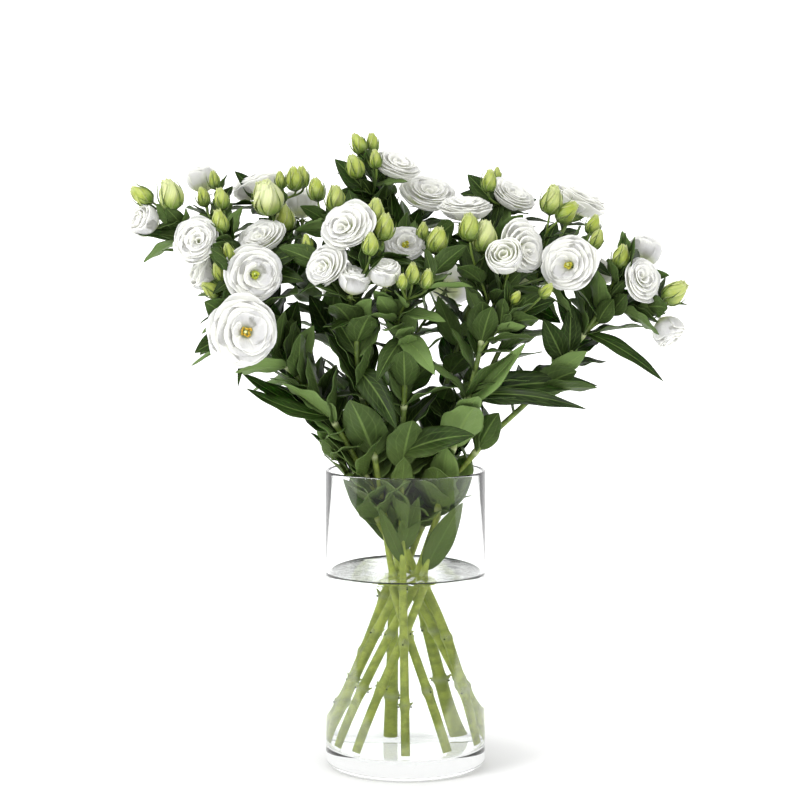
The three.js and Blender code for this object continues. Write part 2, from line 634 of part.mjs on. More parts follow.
function waterSolid(stems) {
  const r = VASE_RADIUS - VASE_WALL - GAP;
  const low = VASE_FLOOR + GAP;
  let body = turned([[0, low], [r - 5, low], [r, low + 6.2], [r, WATER_LEVEL], [0, WATER_LEVEL]]);
  for (const stem of stems) {
    body = body.subtract(loft(stalkRings(sample(stem.stalk, STALK_STEPS), STEM_FOOT + GAP, STEM_TOP + GAP)));
  }
  return largest(body);
}

// The main body of a cut shape: loose scraps and sealed hollows are left behind.
function largest(body) {
  return body.decompose().reduce((a, b) => (b.volume() > a.volume() ? b : a));
}

function toMesh(name, body, color, roughness) {
  const { vertProperties, triVerts } = body.getMesh();
  const geometry = new THREE.BufferGeometry();
  geometry.setAttribute('position', new THREE.BufferAttribute(vertProperties, 3));
  geometry.setIndex(new THREE.BufferAttribute(triVerts, 1));
  const mesh = new THREE.Mesh(geometry,
    new THREE.MeshStandardMaterial({ color, roughness, metalness: 0 }));
  mesh.name = name;
  return mesh;
}

// ---- assembly: leaves give way to everything, blooms to stalks, later pieces to earlier ones ----
const group = new THREE.Group();
const stems = growAll();
group.add(toMesh('vase', vaseSolid(), 0xf4f8f6, 0.05));
group.add(toMesh('water', waterSolid(stems), 0xeef4ee, 0.03));

const woods = [];
const fatWoods = [];
stems.forEach((stem) => {
  let wood = woodSolid(stem, 0);
  fatWoods.forEach((fat) => { wood = wood.subtract(fat); });
  woods.push(wood);
  fatWoods.push(woodSolid(stem, GAP));
});

let taken = null;
const blooms = stems.flatMap((stem) => stem.blooms);
const petals = blooms.map((bloom) => {
  let body = bloomSolid(bloom, 0);
  fatWoods.forEach((fat) => { body = body.subtract(fat); });
  body = largest(taken ? body.subtract(taken) : body);
  const fat = bloomSolid(bloom, GAP);
  taken = taken ? taken.add(fat) : fat;
  return body;
});

stems.forEach((stem, index) => {
  let leaves = null;
  let fat = null;
  for (const leaf of stem.leaves) {
    const thin = leafSolid(leaf, 0);
    const thick = leafSolid(leaf, GAP);
    leaves = leaves ? leaves.add(thin) : thin;
    fat = fat ? fat.add(thick) : thick;
  }
  leaves = leaves.subtract(taken);
  fatWoods.forEach((other, k) => { if (k !== index) leaves = leaves.subtract(other); });
  taken = taken.add(fat);
  const name = `stem_${String(index + 1).padStart(2, '0')}`;
  group.add(toMesh(name, largest(woods[index].add(leaves)), 0x4f7338, 0.6));
});

blooms.forEach((bloom, k) => group.add(toMesh(`bloom_${bloom.name}`, petals[k], 0xf7f6f0, 0.7)));
blooms.filter((bloom) => bloom.kind === 'open').forEach((bloom) => {
  group.add(toMesh(`centre_${bloom.name}`, centreSolid(bloom), 0xd9a520, 0.7));
});

export default group;
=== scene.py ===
"""White double lisianthus in a clear glass cylinder vase, dressed round its CAD solids.

The layout part repeats the rule by which the CAD source grows stalks, branches and leaves, so every
fine petal, leaf and bud sits where its solid is. Tables are in millimetres; MM makes them metres.
"""
import math
from functools import partial

import bpy
import numpy as np
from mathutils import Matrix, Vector


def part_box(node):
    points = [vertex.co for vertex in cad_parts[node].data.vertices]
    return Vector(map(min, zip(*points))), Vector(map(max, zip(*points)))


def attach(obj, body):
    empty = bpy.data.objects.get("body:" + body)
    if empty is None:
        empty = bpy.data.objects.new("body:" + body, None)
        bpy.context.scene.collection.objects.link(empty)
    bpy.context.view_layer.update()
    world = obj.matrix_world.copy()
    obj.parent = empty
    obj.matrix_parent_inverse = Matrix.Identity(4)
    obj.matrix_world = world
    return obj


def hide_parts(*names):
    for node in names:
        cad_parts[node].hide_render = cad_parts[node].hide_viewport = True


bl_info = {
    "name": "Lisianthus bouquet",
    "version": (1, 0, 0),
    "blender": (4, 5, 0),
    "location": "View3D > Sidebar > Bouquet",
    "description": "Builds a bouquet of white double lisianthus in a glass cylinder vase",
    "category": "Object",
}

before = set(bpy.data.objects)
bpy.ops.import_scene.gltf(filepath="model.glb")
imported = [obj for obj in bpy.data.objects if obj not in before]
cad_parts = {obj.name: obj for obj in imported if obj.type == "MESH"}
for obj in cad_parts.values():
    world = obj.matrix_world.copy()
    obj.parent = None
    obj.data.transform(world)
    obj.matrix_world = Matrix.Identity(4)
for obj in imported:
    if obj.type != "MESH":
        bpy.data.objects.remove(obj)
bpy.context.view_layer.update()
MM = 0.001

# ---- measures in millimetres; the vase and the water come from the frame ----
VASE_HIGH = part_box("vase")[1]
WATER_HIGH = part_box("water")[1]
VASE_RADIUS = round(VASE_HIGH.x / MM, 1)
VASE_HEIGHT = round(VASE_HIGH.z / MM, 1)
WATER_LEVEL = round(WATER_HIGH.z / MM, 1)
VASE_WALL = 3.5
VASE_FLOOR = 18.0
VASE_CORNER = 7.0
FLOOR_DIP = 0.8
DIP_RADIUS = 60.0
INNER_RADIUS = VASE_RADIUS - VASE_WALL
STEM_FOOT = 3.5
STEM_TOP = 1.7
BRANCH_RADIUS = 1.3
TWIG_RADIUS = 1.0
LEAF_FOLD = 0.3
LEAF_THICK = 0.55
SEPAL_REACH = 0.3
NODE_FIRST = 212.0
NODE_STEP = 50.0
LEAF_LONG = 84.0
LEAF_SHORT = 56.0
LEAF_BRANCH = 45.0
BRANCH_BARE = 55.0
LEAF_SLIM = 0.5
CLEAR = 1.6
NECK_TOP = 345.0
NECK_SLOPE = 0.55
CROWDED = 8.0
STALK_ROOM = 2.6
BRANCH_ROOM = 1.6
SMALL_LEAF = 48.0

# ---- how stalks and branches run, and where leaves may sit ----
STALK_STEPS = 150
BRANCH_STEPS = 20
STRAIGHT_NECK = 24.0
HANDLE = 0.35
LOWEST_FORK = 300.0
FORKS = slice(3, 17)
LAST_NODE = 130
NODE_RANGE = 280.0
PAIR_TURN = 1.45
TURNS = (0, 0.45, -0.45, 0.9, -0.9)
LEANS = (0, 0.35, -0.3, -0.55)
YOUNG_SPOTS = range(54, 134, 4)
YOUNG_FORKS = (2, 5, 8, 11, 14)
YOUNG_LEAST = 26.0
YOUNG_HIGH = 480.0
YOUNG_CROWDED = 45.0

# ---- blooms: middle, the way they face, width, kind ----
LIFT = {"open": 0.22, "rose": 0.28, "cup": 0.42}
BLOOMS = {
    "a": [[-242, 8, 509], [-5, -4, 3], 30, "cup"],
    "b": [[-193, -22, 493], [-3, -8, 3], 42, "rose"],
    "c": [[-133, -14, 497], [-3, -5, 7], 44, "rose"],
    "d": [[-138, -52, 463], [1, -9, 2], 50, "open"],
    "e": [[-146, -78, 411], [-1, -9, 1], 61, "open"],
    "f": [[-186, 10, 461], [-6, -3, 2], 34, "cup"],
    "g": [[-143, 52, 545], [-4, 2, 8], 44, "rose"],
    "h": [[-98, 62, 526], [0, 3, 9], 32, "cup"],
    "i": [[-52, -62, 507], [-3, -8, 5], 46, "rose"],
    "j": [[-72, -66, 471], [-4, -6, 3], 38, "rose"],
    "k": [[-46, -68, 456], [2, -3, 8], 30, "cup"],
    "l": [[-19, -74, 463], [0, -4, 8], 30, "cup"],
    "m": [[-2, -24, 490], [0, -7, 6], 38, "open"],
    "n": [[-7, 30, 564], [3, -4, 8], 43, "rose"],
    "o": [[21, 44, 539], [2, -5, 8], 52, "rose"],
    "p": [[55, 2, 525], [0, -2, 9], 49, "rose"],
    "q": [[102, 36, 536], [4, -4, 7], 43, "rose"],
    "r": [[108, -22, 487], [6, -7, 2], 47, "rose"],
    "s": [[89, -58, 477], [-2, -8, 5], 34, "cup"],
    "t": [[149, -36, 472], [-3, -8, 3], 49, "open"],
    "u": [[167, 66, 533], [4, -1, 8], 55, "rose"],
    "v": [[219, -22, 456], [5, -7, 2], 38, "rose"],
    "w": [[223, 24, 481], [3, 3, 8], 33, "cup"],
    "x": [[243, -4, 408], [4, -3, -7], 32, "cup"],
    "y": [[185, 40, 462], [4, 0, 8], 28, "cup"],
    "z": [[-193, 54, 549], [-2, 2, 9], 29, "cup"],
    "back_1": [[-60, 92, 452], [-3, 8, 5], 42, "rose"],
    "back_2": [[42, 98, 450], [2, 8, 5], 44, "rose"],
    "back_3": [[118, 92, 455], [5, 8, 4], 38, "cup"],
}
# how green the youngest blooms still are, from 0 to 1
GREENNESS = {"s": 0.5, "l": 0.35, "k": 0.15, "x": 0.1, "h": 0.1, "y": 0.3, "z": 0.25}
# the side on which a bloom's rims bunch; the others bunch downwards and to the front
BUNCHED = {"b": [10, 0, -6], "d": [10, 0, -4], "e": [10, 0, -1], "f": [4, 0, -8], "i": [-5, 0, -9],
           "j": [-3, 0, -9], "m": [8, 0, -7], "r": [4, 0, -9], "t": [-7, 0, -8], "v": [-8, 0, 4]}
# how ripe the anthers of the open blooms are, from lime to golden brown
RIPENESS = {"d": 0.1, "e": 1.0, "m": 0.35, "t": 0.45}

# ---- stems: where the stalk is at the heights of its foot, the waist of the bunch and the vase's rim,
# its crown, its blooms (the first one ends the stalk), and its buds: middle, length and, if it doesn't
# look away from the crown, the way it faces ----
STEM_HEIGHTS = (21, 170, 280)
STEMS = [
    [[-56, -20], [6, -11], [53, -9], [132, -8, 362], ["v", "w", "x", "y"],
     [[198, -14, 477, 22], [248, -10, 444, 26, [7, -1, 6]]]],
    [[-59, 4], [-5, -2], [40, 14], [88, 38, 385], ["u", "back_3"],
     [[137, 20, 529, 27], [151, 20, 518, 24, [6, 0, 6]], [175, 14, 506, 19], [177, 0, 493, 19]]],
    [[-48, 30], [-12, 8], [16, 24], [52, 36, 400], ["q"],
     [[78, 16, 547, 20], [87, 60, 554, 14]]],
    [[-8, 55], [-8, 19], [-10, 28], [4, 43, 410], ["n", "o", "back_2"],
     [[-44, 30, 582, 20, [-4, 0, 8]], [-31, 36, 583, 18], [-47, 10, 560, 23, [-3, -2, 8]],
      [-28, 12, 567, 17]]],
    [[28, 52], [6, 25], [-28, 34], [-68, 40, 400], ["g", "h", "c", "back_1"],
     [[-127, -6, 531, 33, [-2, -3, 8]], [-117, 30, 548, 16], [-104, 24, 549, 22], [-97, 34, 551, 20],
      [-112, 10, 512, 25]]],
    [[46, 36], [10, 16], [-50, 16], [-118, 15, 392], ["b", "a", "z"],
     [[-245, 10, 533, 23, [-8, -1, 5]], [-217, 0, 534, 29, [-2, -1, 8]], [-179, 30, 548, 17]]],
    [[58, 14], [3, 7], [-56, -4], [-104, -12, 380], ["d", "f"],
     [[-188, 12, 532, 18], [-170, 0, 530, 20], [-170, -20, 509, 22], [-160, -44, 481, 17],
      [-170, -30, 463, 18, [-4, -2, 8]], [-178, -30, 447, 19, [-6, -2, 4]]]],
    [[56, -6], [14, 0], [-40, -26], [-82, -40, 350], ["e"],
     []],
    [[34, -34], [-9, -22], [-26, -34], [-44, -44, 385], ["i", "j", "k"],
     [[-83, 20, 539, 22], [-64, -6, 530, 25], [-28, -40, 517, 25], [-19, -56, 504, 24],
      [-31, -84, 489, 20], [-89, -46, 490, 15]]],
    [[0, -52], [-2, -31], [-4, -38], [0, -46, 385], ["m", "l", "p"],
     [[6, -74, 463, 19], [19, -70, 458, 18], [29, -40, 492, 25], [16, -20, 500, 17], [-3, -86, 456, 14]]],
    [[-42, -40], [13, -22], [38, -28], [66, -40, 385], ["r", "s", "t"],
     [[58, -36, 504, 25], [72, -30, 495, 29], [127, -56, 447, 16, [4, -3, 5]],
      [99, -60, 441, 14, [3, -3, 5]]]],
]

# ---- large leaves seen plainly: stem, foot, tip, width, the way the upper face looks, arch ----
LEAVES = [
    [5, [-200, 10, 474], [-248, 0, 497], 15, [0, -6, 6], 0.1],
    [4, [-140, 40, 525], [-160, 30, 556], 17, [4, -8, 2], 0.05],
    [3, [-50, 22, 530], [-66, 20, 567], 22, [2, -9, 2], 0.0],
    [2, [62, 30, 520], [58, 26, 553], 20, [0, -9, 3], 0.0],
    [0, [205, -10, 425], [261, 0, 432], 15, [0, -5, 8], 0.12],
    [0, [184, -10, 391], [238, -14, 362], 18, [-3, -5, 8], 0.12],
    [10, [99, -24, 341], [178, -4, 357], 28, [-1, -8, 4], 0.1],
    [10, [99, -30, 341], [165, -36, 338], 26, [0, -7, -6], 0.12],
    [6, [-84, -14, 326], [-150, -24, 370], 24, [3, -5, 8], -0.06],
    [7, [-80, -40, 322], [-144, -52, 358], 22, [3, -6, 6], -0.12],
    [8, [-47, -52, 373], [-8, -84, 324], 26, [-3, -9, 3], 0.14],
    [9, [12, -58, 296], [62, -78, 318], 29, [-2, -9, 5], 0.1],
    [10, [52, -48, 345], [108, -62, 400], 26, [-5, -8, 5], -0.1],
    [8, [-60, -60, 405], [-30, -78, 440], 20, [2, -9, 2], 0.1],
    [7, [-62, -30, 300], [-92, -34, 345], 10, [-4, -8, 2], 0.0],
    [9, [-6, -54, 400], [-26, -72, 366], 21, [-2, -9, 4], 0.14],
    [9, [0, -56, 405], [26, -76, 372], 22, [2, -9, 3], 0.14],
    [2, [44, 34, 395], [30, 10, 440], 24, [-4, -8, 3], 0.0],
    [1, [100, 38, 408], [120, 12, 455], 26, [-4, -8, 3], 0.0],
    [7, [-147, -66, 402], [-151, -64, 360], 7, [1, -9, 1], 0.0],
    [10, [18, -24, 188], [52, -36, 251], 24, [2, -9, 2], 0.02],
    [9, [-3, -33, 196], [-25, -44, 249], 14, [-3, -8, 2], 0.0],
    [9, [-3, -34, 205], [12, -44, 256], 20, [2, -9, 2], 0.02],
    [6, [-22, 3, 225], [-58, -16, 268], 22, [2, -8, 4], 0.0],
    [5, [-10, 16, 200], [-48, -8, 244], 18, [3, -8, 3], 0.0],
    [0, [35, -10, 237], [62, -18, 272], 22, [-2, -8, 4], 0.0],
]
# young leaves that close the dark parts of the foliage, which the solids leave out
YOUNG_LEAVES = [
    [0, [150, -9, 376], [126, -24, 420], 24, [-2, -9, 2], 0.05],
    [0, [160, -9, 384], [152, -18, 432], 22, [1, -9, 3], 0.0],
    [0, [172, -10, 400], [140, -4, 440], 20, [-2, -9, 3], 0.05],
    [0, [140, -8, 368], [158, 0, 408], 24, [3, -9, 2], 0.0],
    [1, [112, 38, 430], [146, 26, 414], 24, [1, -8, 5], 0.1],
    [4, [-66, 40, 395], [-90, 22, 440], 28, [2, -9, 2], 0.03],
    [4, [-72, 38, 405], [-66, 22, 456], 26, [-2, -9, 2], 0.0],
    [5, [-116, 15, 388], [-100, -2, 436], 28, [-2, -9, 2], 0.0],
    [5, [-122, 14, 400], [-128, 0, 440], 22, [3, -9, 2], 0.0],
    [6, [-102, -12, 376], [-84, -26, 414], 24, [-3, -9, 2], 0.0],
    [8, [-46, -44, 390], [-66, -30, 424], 20, [2, -9, 3], 0.05],
    [3, [-4, 40, 488], [-14, 34, 540], 26, [-1, -9, 2], 0.0],
    [3, [0, 42, 478], [14, 34, 522], 26, [2, -9, 2], 0.0],
    [2, [66, 36, 462], [50, 22, 508], 22, [-1, -9, 2], 0.0],
]


# ---- vectors and curves ----
def unit(a):
    """The same direction at length one, along the last axis."""
    a = np.asarray(a, float)
    return a / np.linalg.norm(a, axis=-1, keepdims=True)


def size(a):
    """The length of a vector."""
    return float(np.linalg.norm(a))


class Draw:
    """Even draws between 0 and 1 from a fixed seed: each state is the one before times 16807, modulo
    2^31 - 1."""

    modulus = 2 ** 31 - 1

    def __init__(self, seed):
        self.state = (seed * 7919 + 12345) % self.modulus
        self()
        self()

    def __call__(self):
        self.state = self.state * 16807 % self.modulus
        return self.state / self.modulus


def basis(d):
    """Two directions square to d and to each other."""
    e = unit(np.cross(d, [1, 0, 0] if abs(d[2]) > 0.9 else [0, 0, 1]))
    return e, np.cross(d, e)


def outwards(e1, e2, angle):
    """The direction at an angle in the plane of e1 and e2."""
    return e1 * math.cos(angle) + e2 * math.sin(angle)


def smooth_line(points, steps):
    """Points at equal parameter steps on a uniform Catmull-Rom spline: a cubic through each pair of
    points whose end slopes are half the chord between their neighbours."""
    p = np.asarray(points, float)
    p = np.vstack([2 * p[0] - p[1], p, 2 * p[-1] - p[-2]])
    at = np.linspace(0, 1, steps + 1) * (len(points) - 1)
    i = np.minimum(at.astype(int), len(points) - 2)
    w = (at - i)[:, None]
    x0, x1, x2, x3 = p[i], p[i + 1], p[i + 2], p[i + 3]
    t0, t1 = (x2 - x0) / 2, (x3 - x1) / 2
    square = -3 * x1 + 3 * x2 - 2 * t0 - t1
    cube = 2 * x1 - 2 * x2 + t0 + t1
    return x1 + t0 * w + square * w ** 2 + cube * w ** 3


def bent_line(a, b, c, d, steps):
    """Points on the cubic Bezier curve from a to d with the handles b and c."""
    t = np.linspace(0, 1, steps + 1)[:, None]
    k = 1 - t
    return a * k ** 3 + 3 * b * k ** 2 * t + 3 * c * k * t ** 2 + d * t ** 3


def tangents(points):
    """Directions along a row of points: from the one before to the one after."""
    ends = np.vstack([points[1:], points[-1:]]) - np.vstack([points[:1], points[:-1]])
    return unit(ends)


# ---- layout: where every stalk, branch and leaf runs ----
def bloom_of(name):
    """A bloom's place and axes; its base lies behind its middle by its kind's share of the width."""
    middle, face, width, kind = BLOOMS[name]
    f = unit(face)
    e1, e2 = basis(f)
    middle = np.array(middle, float)
    return dict(name=name, middle=middle, f=f, e1=e1, e2=e2, width=width, kind=kind,
                base=middle - f * LIFT[kind] * width)


def bud_of(row, crown):
    """A bud's place and axes; it looks away from the crown and up, if its row gives no other way."""
    x, y, z, length, *face = row
    middle = np.array([x, y, z], float)
    f = unit(face[0] if face else unit(middle - crown) + [0, 0, 0.9])
    e1, e2 = basis(f)
    return dict(middle=middle, f=f, e1=e1, e2=e2, length=length, base=middle - f * length / 2)


def bud_width(length):
    """Young buds are slender, and those about to open are as fat as they are blunt."""
    return 0.016 * length ** 2 + 0.16 * length + 2


def stand_off(bloom):
    """How far below its base a bloom's stalk ends."""
    return 0.03 * bloom["width"] + 1.5


def fork(places, ways, target):
    """The point of the stem where a flower stalk leaves it: near, below, and not at a sharp turn."""
    least_reach, least_rise, free_turn, turn_cost = 16, 8, 0.6, 90
    places, ways = np.array(places), np.array(ways)
    way = target - places
    far = np.linalg.norm(way, axis=1)
    turn = np.arccos(np.clip((ways * way).sum(1) / far, -1, 1))
    cost = np.round(far + turn_cost * np.maximum(0, turn - free_turn), 3)
    cost[(far < least_reach) | (places[:, 2] > target[2] - least_rise)] = np.inf
    best = int(np.argmin(cost)) if np.isfinite(cost).any() else len(places) // 2
    return places[best], ways[best]


def grow_stem(spec):
    """One stem: its stalk, then a branch to each further bloom and bud, grown in the listed order."""
    *low, crown, names, rows = spec
    blooms = [bloom_of(name) for name in names]
    buds = [bud_of(row, crown) for row in rows]
    last = blooms[0]
    end = last["base"] - last["f"] * stand_off(last)
    knots = [[*place, height] for place, height in zip(low, STEM_HEIGHTS)]
    points = smooth_line([*knots, crown, end - STRAIGHT_NECK * last["f"], end], STALK_STEPS)
    ways = tangents(points)
    places = [p for p in points if p[2] > LOWEST_FORK]
    turns = [t for p, t in zip(points, ways) if p[2] > LOWEST_FORK]
    branches = []
    heads = [(b, stand_off(b), BRANCH_RADIUS) for b in blooms[1:]]
    heads += [(b, 0, TWIG_RADIUS) for b in buds]
    for head, back, radius in heads:
        tip = head["base"] - head["f"] * back
        start, way = fork(places, turns, tip)
        far = size(tip - start)
        line = bent_line(start, start + HANDLE * far * way, tip - HANDLE * far * head["f"], tip,
                         BRANCH_STEPS)
        places += list(line[FORKS])
        turns += list(tangents(line)[FORKS])
        branches.append(dict(line=line, radius=radius, long=far, head=head))
    return dict(points=points, ways=ways, branches=branches, blooms=blooms, buds=buds,
                leaves=[], small=[], nodes=[])


def leaf_by(base, way, length, width, up, droop):
    """Leaf blade: runs from a to c bending towards b; n is the way its upper face looks."""
    c = base + length * (way * (1 - 0.25 * droop) + np.array([0, 0, -0.6 * droop]))
    return dict(a=base, b=base + 0.5 * length * way, c=c, width=width, n=up)


def leaf_at(leaf, s):
    """Midrib point, direction, sideways, upward and half width at shares s of the leaf's length. The
    midrib is a quadratic Bezier curve; the half width follows sin(pi s^0.72)^0.85 and is at least
    1.5 mm on the lower half."""
    s = np.asarray(s, float)
    k = s[:, None]
    a, b, c = leaf["a"], leaf["b"], leaf["c"]
    p = a * (1 - k) ** 2 + 2 * b * k * (1 - k) + c * k ** 2
    t = unit((b - a) * (1 - k) + (c - b) * k)
    u = unit(np.cross(t, leaf["n"]))
    half = leaf["width"] / 2 * np.abs(np.sin(np.pi * s ** 0.72)) ** 0.85
    return p, t, u, np.cross(u, t), np.where(s < 0.5, np.maximum(half, 1.5), half)


class Room:
    """What the leaves keep clear of: rows of a point, a radius and the stem that it belongs to."""

    def __init__(self):
        self.rows = np.zeros((0, 5))

    def add(self, points, radius, owner):
        points = np.asarray(points, float).reshape(-1, 3)
        ends = np.broadcast_to([radius, owner], (len(points), 2))
        self.rows = np.vstack([self.rows, np.hstack([points, ends])])

    def near(self, base, length, owner):
        """The rows that a leaf of this length could reach, without those of its own stem at its foot."""
        gap = np.linalg.norm(self.rows[:, :3] - base, axis=1)
        return self.rows[(gap < 1.3 * length + 30) & ((self.rows[:, 4] != owner) | (gap >= 9))]

    def remember(self, leaf):
        """Adds a placed leaf as small balls along its midrib and both halves."""
        shares = [0.2, 0.4, 0.6, 0.8, 1.0]
        p, _, u, _, half = leaf_at(leaf, shares)
        for k, s in enumerate(shares):
            for side in ([-0.6, 0, 0.6] if s < 0.9 else [0]):
                self.add(p[k] + u[k] * side * half[k], max(0.3 * half[k], 1), -1)


def crowding(leaf, rows):
    """How far the leaf's tip, midrib and edges reach into the rows, the glass and the water."""
    wall_gap, neck_gap, water_gap = 8, 5, 8
    p, _, u, _, half = leaf_at(leaf, [0.25, 0.42, 0.6, 0.78])
    probe = (p[:, None] + u[:, None] * half[:, None, None] * np.array([-0.9, 0, 0.9])[:, None])
    probe = np.vstack([[leaf["c"]], probe.reshape(-1, 3)])
    gap = np.linalg.norm(probe[:, None] - rows[None, :, :3], axis=2)
    total = np.maximum(0, rows[:, 3] + CLEAR - gap).sum()
    wide = np.hypot(probe[:, 0], probe[:, 1]) - VASE_RADIUS
    over = probe[:, 2] - VASE_HEIGHT
    neck = (over >= neck_gap) & (probe[:, 2] < NECK_TOP)
    total += 3 * np.maximum(0, wide + wall_gap)[over < neck_gap].sum()
    total += np.maximum(0, wide + neck_gap - NECK_SLOPE * over)[neck].sum()
    total += 2 * np.maximum(0, WATER_LEVEL + water_gap - probe[:, 2]).sum()
    return round(float(total), 3)


def clearest(room, base, t, side, length, width, tilt, droop, owner, most=CROWDED):
    """Of several turns and tilts, the leaf that crowds its neighbours least."""
    other = np.cross(t, side)
    rows = room.near(base, length, owner)
    best, least = None, most
    for turn in TURNS:
        out = outwards(side, other, turn)
        for lean in LEANS:
            angle = tilt + lean
            way = out * math.sin(angle) + t * math.cos(angle)
            up = unit(t * math.sin(angle) - out * math.cos(angle) + [0, 0, 0.3])
            leaf = leaf_by(base, way, length, width, up, droop)
            total = crowding(leaf, rows)
            if total < least:
                best, least = leaf, total
    return best


def place_leaves(stems, room, table, kind):
    """The leaves of a table, each from the nearest point of its stem."""
    for index, foot, tip, width, up, arch in table:
        stem = stems[index]
        lines = np.vstack([stem["points"]] + [b["line"] for b in stem["branches"]])
        a = lines[np.argmin(np.linalg.norm(lines - foot, axis=1))]
        tip = np.array(tip, float)
        b = (a + tip) / 2 + [0, 0, arch * size(tip - a)]
        leaf = dict(a=a, b=b, c=tip, width=width, n=unit(up))
        stem[kind].append(leaf)
        room.remember(leaf)


def place_leaf_pairs(stem, index, room):
    """Pairs of leaves up the stalk at nearly even steps, each pair turned from the one before, and one
    or two smaller pairs along each long branch."""
    draw = Draw(index + 1)
    following = NODE_FIRST + 30 * draw()
    turn = 3 * draw()

    def put(*values):
        leaf = clearest(room, *values, index)
        if leaf:
            stem["leaves"].append(leaf)
            room.remember(leaf)

    for k, p in enumerate(stem["points"]):
        if p[2] < following or k > LAST_NODE:
            continue
        following = p[2] + NODE_STEP * (0.9 + 0.3 * draw())
        t = stem["ways"][k]
        stem["nodes"].append(k)
        e1, e2 = basis(t)
        high = min(1, (p[2] - NODE_FIRST) / NODE_RANGE)
        for way in (1, -1):
            side = outwards(e1 * way, e2 * way, turn)
            length = (LEAF_LONG + (LEAF_SHORT - LEAF_LONG) * high) * (0.85 + 0.3 * draw())
            tilt = 0.75 + 0.3 * draw()
            put(p, t, side, length, length * LEAF_SLIM, tilt, 0.15 + 0.3 * draw())
        turn += PAIR_TURN
    for branch in stem["branches"]:
        if branch["long"] < BRANCH_BARE:
            continue
        for k in ((10,) if branch["long"] < 2 * BRANCH_BARE else (7, 13)):
            t = tangents(branch["line"])[k]
            e1, e2 = basis(t)
            angle = 3 * draw()
            for way in (1, -1):
                side = outwards(e1 * way, e2 * way, angle)
                length = LEAF_BRANCH * (0.9 + 0.25 * draw())
                put(branch["line"][k], t, side, length, length * LEAF_SLIM, 0.7, 0.25)


def place_small_leaves(stem, index, room):
    """Young leaves in the gaps, which the solids leave out: along the stalk and every branch but the
    shortest. They may touch their neighbours a little."""
    draw = Draw(index + 51)
    spots = [(stem["points"], stem["ways"], k, 0.4 + 0.35 * draw()) for k in YOUNG_SPOTS]
    for branch in stem["branches"]:
        line = branch["line"]
        if branch["long"] > YOUNG_LEAST:
            spots += [(line, tangents(line), k, 0.1 + 0.3 * draw()) for k in YOUNG_FORKS]
    for line, ways, k, scale in spots:
        p, t = line[k], ways[k]
        if p[2] < WATER_LEVEL + 12:
            continue
        side = outwards(*basis(t), 6.3 * draw())
        length = SMALL_LEAF * (0.6 + scale) * (1 if p[2] < YOUNG_HIGH else 0.8)
        width = length * (0.4 + 0.12 * draw())
        leaf = clearest(room, p, t, side, length, width, 0.7, 0.2, index, YOUNG_CROWDED)
        if leaf:
            stem["small"].append(leaf)
            room.remember(leaf)


def grow_all():
    """All stems with their leaves, which each take the clearest room left by what is there already.
    The young leaves also keep out of the sight lines in front of the blooms and buds."""
    stems = [grow_stem(spec) for spec in STEMS]
    room = Room()
    for owner, stem in enumerate(stems):
        room.add(stem["points"], STALK_ROOM, owner)
        for b in stem["branches"]:
            room.add(b["line"], BRANCH_ROOM, owner)
        for b in stem["blooms"]:
            room.add([b["middle"]], 0.45 * b["width"], -1)
        for b in stem["buds"]:
            room.add([b["middle"]], 0.62 * bud_width(b["length"]), -1)
    place_leaves(stems, room, LEAVES, "leaves")
    for index, stem in enumerate(stems):
        place_leaf_pairs(stem, index, room)
    for stem in stems:
        heads = [(b["middle"], b["width"], 0) for b in stem["blooms"]]
        heads += [(b["middle"], bud_width(b["length"]), 4) for b in stem["buds"]]
        for middle, width, more in heads:
            for step in (0.6, 1.1, 1.6):
                room.add([middle - [0, step * max(width, 24), 0]], 0.42 * width + more, -1)
    for index, stem in enumerate(stems):
        place_small_leaves(stem, index, room)
    place_leaves(stems, room, YOUNG_LEAVES, "small")
    return stems


# ---- meshes ----
# a sheet's tone stays below 1, so that the 2 added on its upper side can be told from it
TONE_MOST = 0.98


